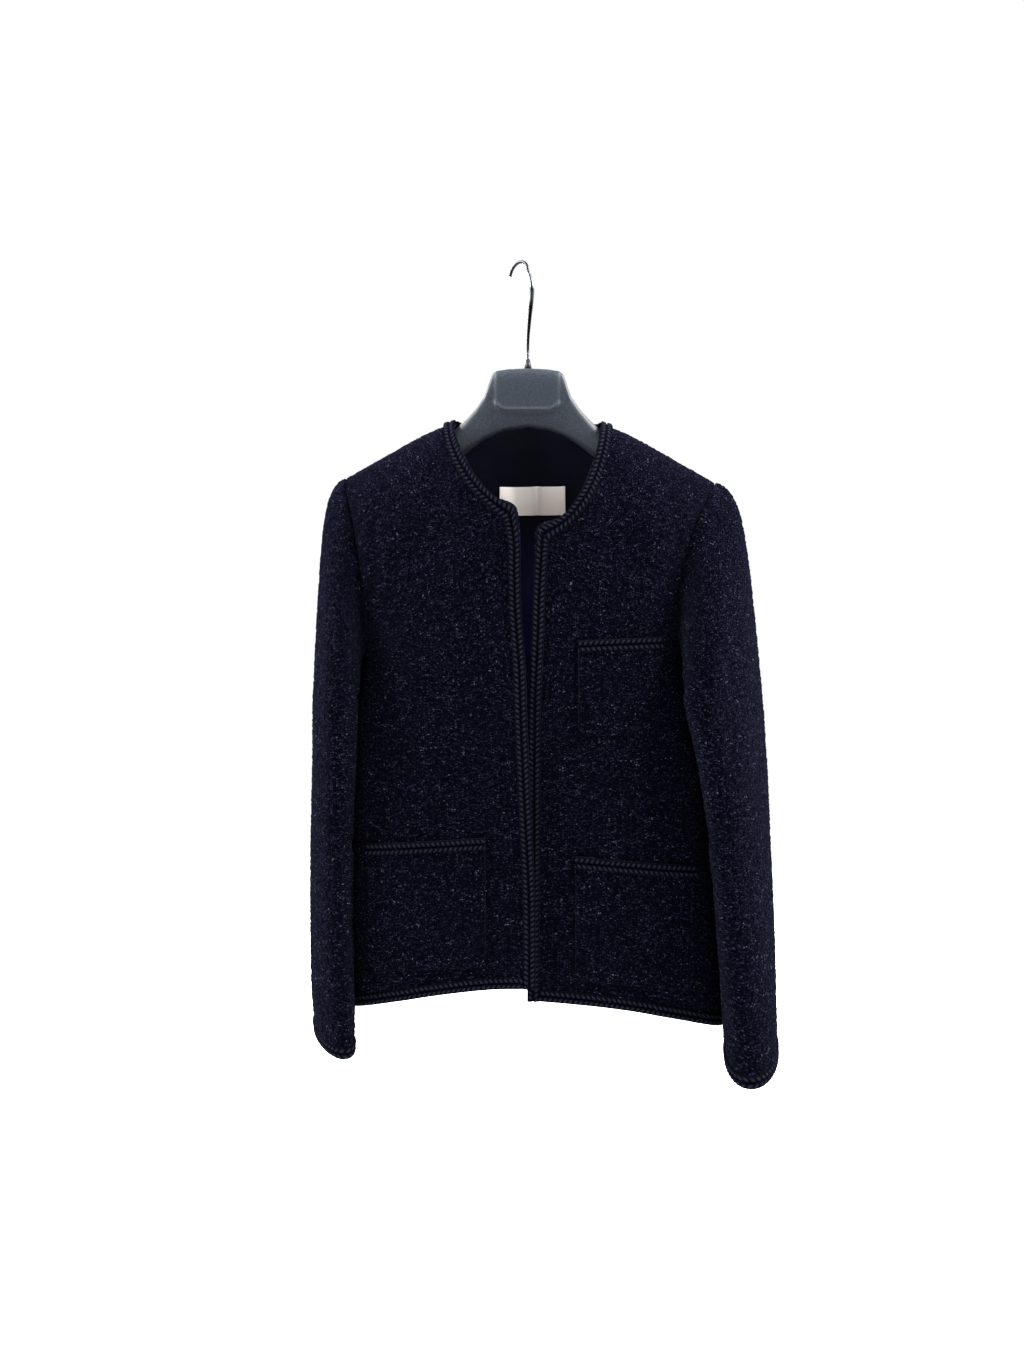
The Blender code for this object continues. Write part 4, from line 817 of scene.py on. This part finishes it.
def pocketGrid(pocket):
    # a rectangle on the front's surface, its lower corners quarter circles
    near, far = pocket["x"]
    turn = np.radians((0, 22.5, 45, 67.5, 90))
    inset, corner, wide = pockets["corner"] * (1 - np.cos(turn)), pockets["corner"], abs(far - near)
    away = np.concatenate((inset, np.linspace(inset[-1], wide - inset[-1], 8)[1:-1], wide - inset[::-1]))
    lift = np.interp(np.minimum(away, wide - away), inset, corner * (1 - np.sin(turn)))
    x = near + away * np.sign(far - near)
    top = pocket["top"][0] + (pocket["top"][1] - pocket["top"][0]) * away / wide
    bottom = top - pocket["depth"] + lift
    steps = np.linspace(0, 1, pockets["rows"])[:, None]
    z = np.concatenate((bottom + (top - body["braidWidth"] - bottom) * steps, [top]))
    grid = bodySurface(np.broadcast_to(x, z.shape), wayDown(x, z, "front"), "front", pocket["side"])
    return grid, gridNormals(grid, np.array((0.0, -1.0, 0.0)))


pocketEdges = {}
for place in ("chest", "lower_left", "lower_right"):
    grid, normals = pocketGrid(pockets[place])
    face = grid + normals * (pockets["gap"] + pockets["cloth"])
    title = place.title().replace("_", "")
    node = "pocket_" + place
    pocketEdges[title] = (face, normals, "braid_" + node)
    tweedPanel("tweedPocket" + title, node, face, -normals, 41 + len(place),
                              thick=pockets["cloth"], edge=pockets["edge"])
print("pockets made")


plait = {"pitch": 5.0, "slant": 3.6, "height": 2.3, "spacing": 0.72, "across": 18, "under": 0.7}


def plaitRelief(along, across):
    # along in mm, across 0 to 1: two columns of leaning lobes, half a lobe apart, that dip at the middle
    half = np.where(across < 0.5, 0, 1)
    w = np.abs(across - 0.5) * 2                       # 0 at the middle, 1 at an edge
    phase = (along - plait["slant"] * w) / plait["pitch"] + 0.5 * half
    lobe = np.abs(2 * (phase - np.floor(phase)) - 1)
    crest = np.sqrt(np.clip(1 - lobe**2.4, 0, 1))
    column = np.clip(1 - np.abs(2 * w - 1)**2.6, 0, 1)**0.5
    return column * (0.2 + 0.8 * crest)


def braidStrip(name, node, low, high, lowNormal, highNormal, closed=False):
    # a strip between two lines on the cloth, raised along their normals by the plait, flat underneath
    both = np.concatenate((low, high, lowNormal, highNormal), axis=-1)
    if closed:
        both = np.concatenate((both[-3:], both, both[:4]))
    knots = lengthsAlong((both[:, :3] + both[:, 3:6]) / 2)
    if closed:
        knots -= knots[3]
    length = knots[-4] if closed else knots[-1]
    along = np.linspace(0, length, round(length / plait["spacing"]) + 1)
    rows = curveThrough(along, knots, both)
    even = np.linspace(0, 1, plait["across"] + 1)
    across = 0.3 * (1 - np.cos(even * math.pi)) / 2 + 0.7 * even        # a little closer at the edges
    s = across[None, :, None]
    base = rows[:, None, :3] * (1 - s) + rows[:, None, 3:6] * s
    normals = unit(rows[:, None, 6:9] * (1 - s) + rows[:, None, 9:12] * s)
    if not closed:
        x, y, z = np.moveaxis(base, -1, 0)
        crease = np.where(y < 0, foldHeight(x, z, creases["front"]), foldHeight(x, z, creases["back"]))
        base = base + normals * crease[..., None]
    turns = max(1, round(length / plait["pitch"]))
    fit = along * turns * plait["pitch"] / length           # a whole number of lobes
    relief = plaitRelief(fit[:, None], across[None])
    points = base + normals * (plait["under"] + relief * plait["height"])[..., None]
    count, wide = points.shape[:2]
    at = np.arange(count * wide).reshape(count, wide)
    if closed:
        at[-1] = at[0]
    faces = [quadsOf(at), quadsOf(at[:, [-1, 0]])] + ([] if closed else [at[:1], at[-1:, ::-1]])
    uv = np.stack(np.broadcast_arrays(fit[:, None], across[None] * body["braidWidth"]), axis=-1)
    # the relief's cube goes to the braid's finish, which paints shade in the plait's hollows and a highlight
    # on its tops
    putMesh(name, node, points, faces, [finishes["braid"]], uv, values={"relief": relief**3})


def onGrid(grid, row, column):
    # a grid's value between its lines, straight along each of them
    row, column = np.broadcast_arrays(row, column)
    i = np.minimum(row.astype(int), grid.shape[0] - 2)
    j = np.minimum(column.astype(int), grid.shape[1] - 2)
    u, v = (row - i)[..., None], (column - j)[..., None]
    return ((grid[i, j] * (1 - v) + grid[i, j + 1] * v) * (1 - u)
            + (grid[i + 1, j] * (1 - v) + grid[i + 1, j + 1] * v) * u)


def backNeckBand(grid, normals):
    # the trim's two lines over the back neck: the neck edge, and a row below it that runs out to the
    # shoulder line on each side; they stand upright at the shoulders
    first, last = body["backOuterColumns"], body["backOuterColumns"] + body["backNeckColumns"]
    part = np.array((0.08, 0.5))
    row = np.full(body["backNeckColumns"] + 5, float(rowCount))
    inner = np.concatenate(([first], first + part, np.arange(first + 1, last), last - part[::-1], [last]))
    outerRow = row - 1
    outerRow[[0, -1]] = rowCount
    outer = np.concatenate(([first - 1, first - 1], np.arange(first, last + 1.0), [last + 1, last + 1]))
    lines = [unit(onGrid(normals, row, inner)), unit(onGrid(normals, outerRow, outer))]
    for line in lines:
        line[[0, -1]] = (0.0, 0.0, 1.0)
    return onGrid(grid, row, inner), onGrid(grid, outerRow, outer), *lines


for side in ("left", "right"):
    grid, normals = panels[side]
    edge = slice(0, cornerRow + 1)
    braidStrip("braidFront" + side.title(), "braid_front_" + side,
               grid[edge, 0], grid[edge, 1], normals[edge, 0], normals[edge, 1])
neck = slice(cornerRow, rowCount)
leftLines, rightLines = ([part[neck, column] for part in panels[side] for column in (0, 1)]
                         for side in ("left", "right"))
neckLines = [np.concatenate((left, middle, right[::-1]))
             for left, middle, right in zip(leftLines, backNeckBand(*panels["back"]), rightLines)]
braidStrip("braidNeck", "braid_neck", *neckLines)
hemLines = [np.concatenate((left[row, 1:], middle[row, 1:-1], right[row, :0:-1]))
            for left, middle, right in zip(panels["left"], panels["back"], panels["right"]) for row in (0, 1)]
braidStrip("braidHem", "braid_hem", *hemLines)
for side, (grid, normals) in sleeveEnds.items():
    braidStrip("braidCuff" + side.title(), "braid_cuff_" + side,
               grid[-1], grid[-2], normals[-1], normals[-2], closed=True)
for title, (face, normals, node) in pocketEdges.items():
    braidStrip("braidPocket" + title, node, face[-2], face[-1], normals[-2], normals[-1])
print("braids made")


# the lining and the label inside the back
inside = {"lining": 1.0, "label": 0.8, "labelX": (-34.5, 37.0), "labelZ": (-255.0, -224.0), "floor": -445.0,
          "edge": 4, "liningSpacing": 3.0, "labelSpacing": 1.2,
          "labelFold": {"fold": 2.4, "at": 40.0, "half": 3.2, "curl": 3.0, "curlReach": 18.0}}


def thinSheet(name, node, slot, near, far, spacing, lift=None):
    # a wall between two grids; a lift raises a bell-shaped fold down it and curls its first edge up
    both, u, v = refine(np.concatenate((near, far), axis=-1), spacing)
    if lift:
        raised = lift["fold"] * np.exp(-((u - lift["at"]) / lift["half"])**2)
        raised = raised + lift["curl"] * (1 - smoothStep(u, 0.0, lift["curlReach"]))
        both[..., 1::3] -= raised[..., None]
    return clothWall(name, node, both[..., :3], both[::3, ::3, 3:], np.stack((u, v), axis=-1),
                     [finishes[slot]])


backPoints, backNormals = panels["back"]
skin = body["cloth"] + body["seam"]
first = int(np.argmin(np.abs(backPoints[:, body["backOuterColumns"], 2] - inside["floor"])))
block = (slice(first, rowCount), slice(inside["edge"], backPoints.shape[1] - inside["edge"]))
near, far = ((backPoints - backNormals * deep)[block] for deep in (skin + inside["lining"], skin))
thinSheet("satinBackLining", "lining_back", "lining", near, far,
                                  inside["liningSpacing"])
# the label's corners are found on the back's grid, by x at its top row and by z down each column
lines = backPoints[-1, :, 0]
first, last = np.interp(inside["labelX"], lines, np.arange(len(lines)))
column = np.concatenate(([first], np.arange(math.ceil(first), math.floor(last) + 1), [last]))
everyRow = np.arange(rowCount + 1.0)
heights = np.linspace(*inside["labelZ"], 5)
row = np.stack([np.interp(heights, onGrid(backPoints, everyRow, place)[:, 2], everyRow) for place in column],
               axis=1)
depth = skin + inside["lining"] + body["seam"]
near, far = (onGrid(backPoints - backNormals * deep, row, column)
             for deep in (depth + inside["label"], depth))
thinSheet("ribbonLabel", "label", "label", near, far, inside["labelSpacing"],
                            inside["labelFold"])
print("lining and label made")


hanger = {"x": (0, 20, 32, 36, 38.5, 41, 44.5, 54, 64, 74, 86, 105, 140, 171, 176, 178.5),
          "top": (-112.5, -113.4, -115.2, -118, -123, -131, -141, -155, -165.5, -174.5, -181, -187.6, -206.3,
                  -224.3, -228.2, -232),
          "bottom": (-171.9, -174.6, -178.8, -180.6, -181.8, -183.2, -185.2, -191.4, -199, -207, -214, -220.5,
                     -233, -243.5, -242.5, -239),
          "half": (9, 9, 9, 9, 9, 9.2, 9.6, 10.5, 11.5, 12.5, 14, 15.5, 16, 13.5, 11, 6),
          "headHalf": 46.0, "headRings": 80, "armRings": 56, "sides": 120, "tipAngle": 1.54,
          "panel": {"x": -0.5, "z": -128.0, "wide": 65.0, "high": 58.0, "corner": 11.0, "raised": 0.9,
                    "slope": 2.5, "bead": 1.8, "beadHalf": 1.8},
          "ferruleFoot": 3.9, "ferruleTop": 3.0, "ferruleHeight": 6.2, "ferruleSides": 32}


def hangerBody():
    # upright sections along x: superellipses that go from plate-like at the head to round in the arms
    reach, head = hanger["x"][-1], hanger["headHalf"]
    tail = np.sin(np.linspace(0, 1, hanger["armRings"] + 1)[1:] * hanger["tipAngle"])
    tail = head + (reach - head) * tail / math.sin(hanger["tipAngle"])
    x = np.concatenate((-tail[::-1], np.linspace(-head, head, hanger["headRings"]), tail))
    size = np.abs(x)[:, None]
    top, bottom, half = (np.interp(size, hanger["x"], hanger[key]) for key in ("top", "bottom", "half"))
    power = 4.0 - 2.0 * smoothStep(size, 36.0, 80.0)
    angles = np.linspace(0.5 * math.pi, 2.5 * math.pi, 480)[None]
    cosine, sine = np.cos(angles), np.sin(angles)
    y = half * np.sign(cosine) * np.abs(cosine)**(2 / power)
    z = (top + bottom) / 2 + (top - bottom) / 2 * np.sign(sine) * np.abs(sine)**(2 / power)
    loops = np.stack((y, z), axis=-1)
    index = np.linspace(0, 1, loops.shape[1])
    sides = [[np.interp(evenly(loop, hanger["sides"])[:-1], index, loop[:, k]) for k in (0, 1)]
             for loop in loops]
    y, z = np.array(sides).swapaxes(0, 1)
    x = np.broadcast_to(x[:, None], y.shape)
    # the distance outside a rounded rectangle raises a panel on the head's front, with a bead along
    # its lower edge
    panel = hanger["panel"]
    away = np.stack((np.abs(x - panel["x"]) - panel["wide"] / 2,
                     np.abs(z - panel["z"]) - panel["high"] / 2), axis=-1) + panel["corner"]
    outside = np.linalg.norm(np.maximum(away, 0), axis=-1) + np.minimum(away.max(axis=-1), 0)
    outside = outside - panel["corner"]
    bead = panel["bead"] * np.exp(-(outside / panel["beadHalf"])**2) * smoothStep(-z, 145.0, 153.0)
    raised = panel["raised"] * smoothStep(-outside, -panel["slope"], panel["slope"])
    y = y - smoothStep(-y, 5.0, 8.5) * (bead + raised)
    return np.stack((x, y, z - body["lean"] * x), axis=-1)


foot = hanger["top"][0] + body["seam"]


def ferruleRings():
    # circles about the stem: a short cone with bevelled ends
    high, bevel = hanger["ferruleHeight"], hook["bevel"]
    turn = np.linspace(0, 2 * math.pi, hanger["ferruleSides"], endpoint=False)
    up = foot + np.array((0.0, 0.3, high - bevel, high))[:, None]
    radius = np.array((hanger["ferruleFoot"] - bevel, hanger["ferruleFoot"], hanger["ferruleTop"],
                       hanger["ferruleTop"] - bevel))[:, None]
    return np.stack(np.broadcast_arrays(radius * np.cos(turn), radius * np.sin(turn), up), axis=-1)


def hookRings():
    # circles carried along the collar, the stem and the loop's arc, square to that line
    start = foot + hanger["ferruleHeight"] + body["seam"]
    end, bevel, radius = start + hook["collarHeight"], hook["bevel"], hook["loopRadius"]
    collar = [(0.0, start), (0.0, start + bevel), (0.0, end - bevel), (0.0, end)]
    knots = np.arange(len(hook["stemZ"]))
    at = np.linspace(1, knots[-1], hook["stemRings"])
    out, height, thick = (curveThrough(at, knots, hook[key]) for key in ("stemOut", "stemZ", "stemHalf"))
    stem = np.stack((out, height), axis=-1)
    arc = np.radians(np.linspace(hook["loopStart"], hook["loopEnd"], hook["loopRings"]))
    half, wide = hook["wire"] / 2, hook["collarRadius"]
    loop = np.stack((-radius + radius * np.cos(arc), half - radius + radius * np.sin(arc)), axis=-1)
    line = np.concatenate((collar, stem, loop))
    radii = np.concatenate(([wide - bevel, wide, wide, wide - 0.5], thick, np.full(len(loop), half)))
    away = np.array((math.cos(hook["turn"]), -math.sin(hook["turn"]), 0.0))
    aside = np.array((math.sin(hook["turn"]), math.cos(hook["turn"]), 0.0))
    centres = line[:, :1] * away + line[:, 1:] * np.array((0.0, 0.0, 1.0))
    other = np.cross(unit(np.gradient(centres, axis=0)), aside)
    around = np.linspace(0, 2 * math.pi, hook["sides"], endpoint=False)[None, :, None]
    turned = np.cos(around) * aside + np.sin(around) * other[:, None]
    return centres[:, None] + radii[:, None, None] * turned


def tube(name, node, rings, finish):
    # walls between rings, and one flat face over each end
    count, around = rings.shape[:2]
    at = np.arange(count * around).reshape(count, around)
    at = np.concatenate((at, at[:, :1]), axis=1)
    putMesh(name, node, rings, [quadsOf(at), at[:1, -2::-1], at[-1:, :-1]], [finish])


tube("hangerBody", "hanger_body", hangerBody(), finishes["plastic"])
tube("hangerFerrule", "hanger_ferrule", ferruleRings(), finishes["ferrule"])
tube("hangerHook", "hanger_hook", hookRings(), finishes["chrome"])
print("hanger made")


# camera, lights and floor, in metres about the seat
view = {"lens": 27.03, "sensor": 36.0, "place": (0.0857, -1.0625, -0.4353), "swing": math.radians(5.0),
        "floorHalf": 6.0, "floorHeight": -1.3}
lamps = {"right": ((1.25, -0.2, 0.95), 200, 0.8), "left": ((-1.25, -0.2, 0.7), 145, 0.8),
         "back": ((-0.9, 2.0, 0.8), 80, 1.4), "backRight": ((1.6, 1.4, 0.5), 50, 1.4)}
jacketMiddle = Vector((0.0, 0.0, -0.4))


def makeStage():
    # a level camera swung about the upright, lamps that look at the jacket's middle, a white room
    data = bpy.data.cameras.new("camera")
    data.lens, data.sensor_width, data.clip_end = view["lens"], view["sensor"], 50.0
    camera = bpy.data.objects.new("camera", data)
    camera.location = view["place"]
    camera.rotation_euler = (math.pi / 2, 0.0, view["swing"])
    scene.collection.objects.link(camera)
    scene.camera = camera
    for name, (place, energy, size) in lamps.items():
        light = bpy.data.lights.new(name, "AREA")
        light.energy, light.size = energy, size
        lamp = bpy.data.objects.new(name, light)
        lamp.location = place
        lamp.rotation_euler = (jacketMiddle - lamp.location).to_track_quat("-Z", "Y").to_euler()
        scene.collection.objects.link(lamp)
    world = bpy.data.worlds.new("studio")
    world.use_nodes = True
    world.node_tree.nodes["Background"].inputs["Color"].default_value = (1.0, 1.0, 1.0, 1.0)
    world.node_tree.nodes["Background"].inputs["Strength"].default_value = 1.0
    scene.world = world
    scene.view_settings.view_transform = "Standard"
    pale = newFinish("paleFloor", Base_Color=linear("#FBFBFB"), Roughness=0.8)[0]
    mesh = bpy.data.meshes.new("floor")
    half, height = view["floorHalf"], view["floorHeight"]
    corners = [(x * half, y * half, height) for x, y in ((-1, -1), (1, -1), (1, 1), (-1, 1))]
    mesh.from_pydata(corners, [], [(0, 1, 2, 3)])
    mesh.materials.append(pale)
    floor = bpy.data.objects.new("floor", mesh)
    scene.collection.objects.link(floor)


makeStage()
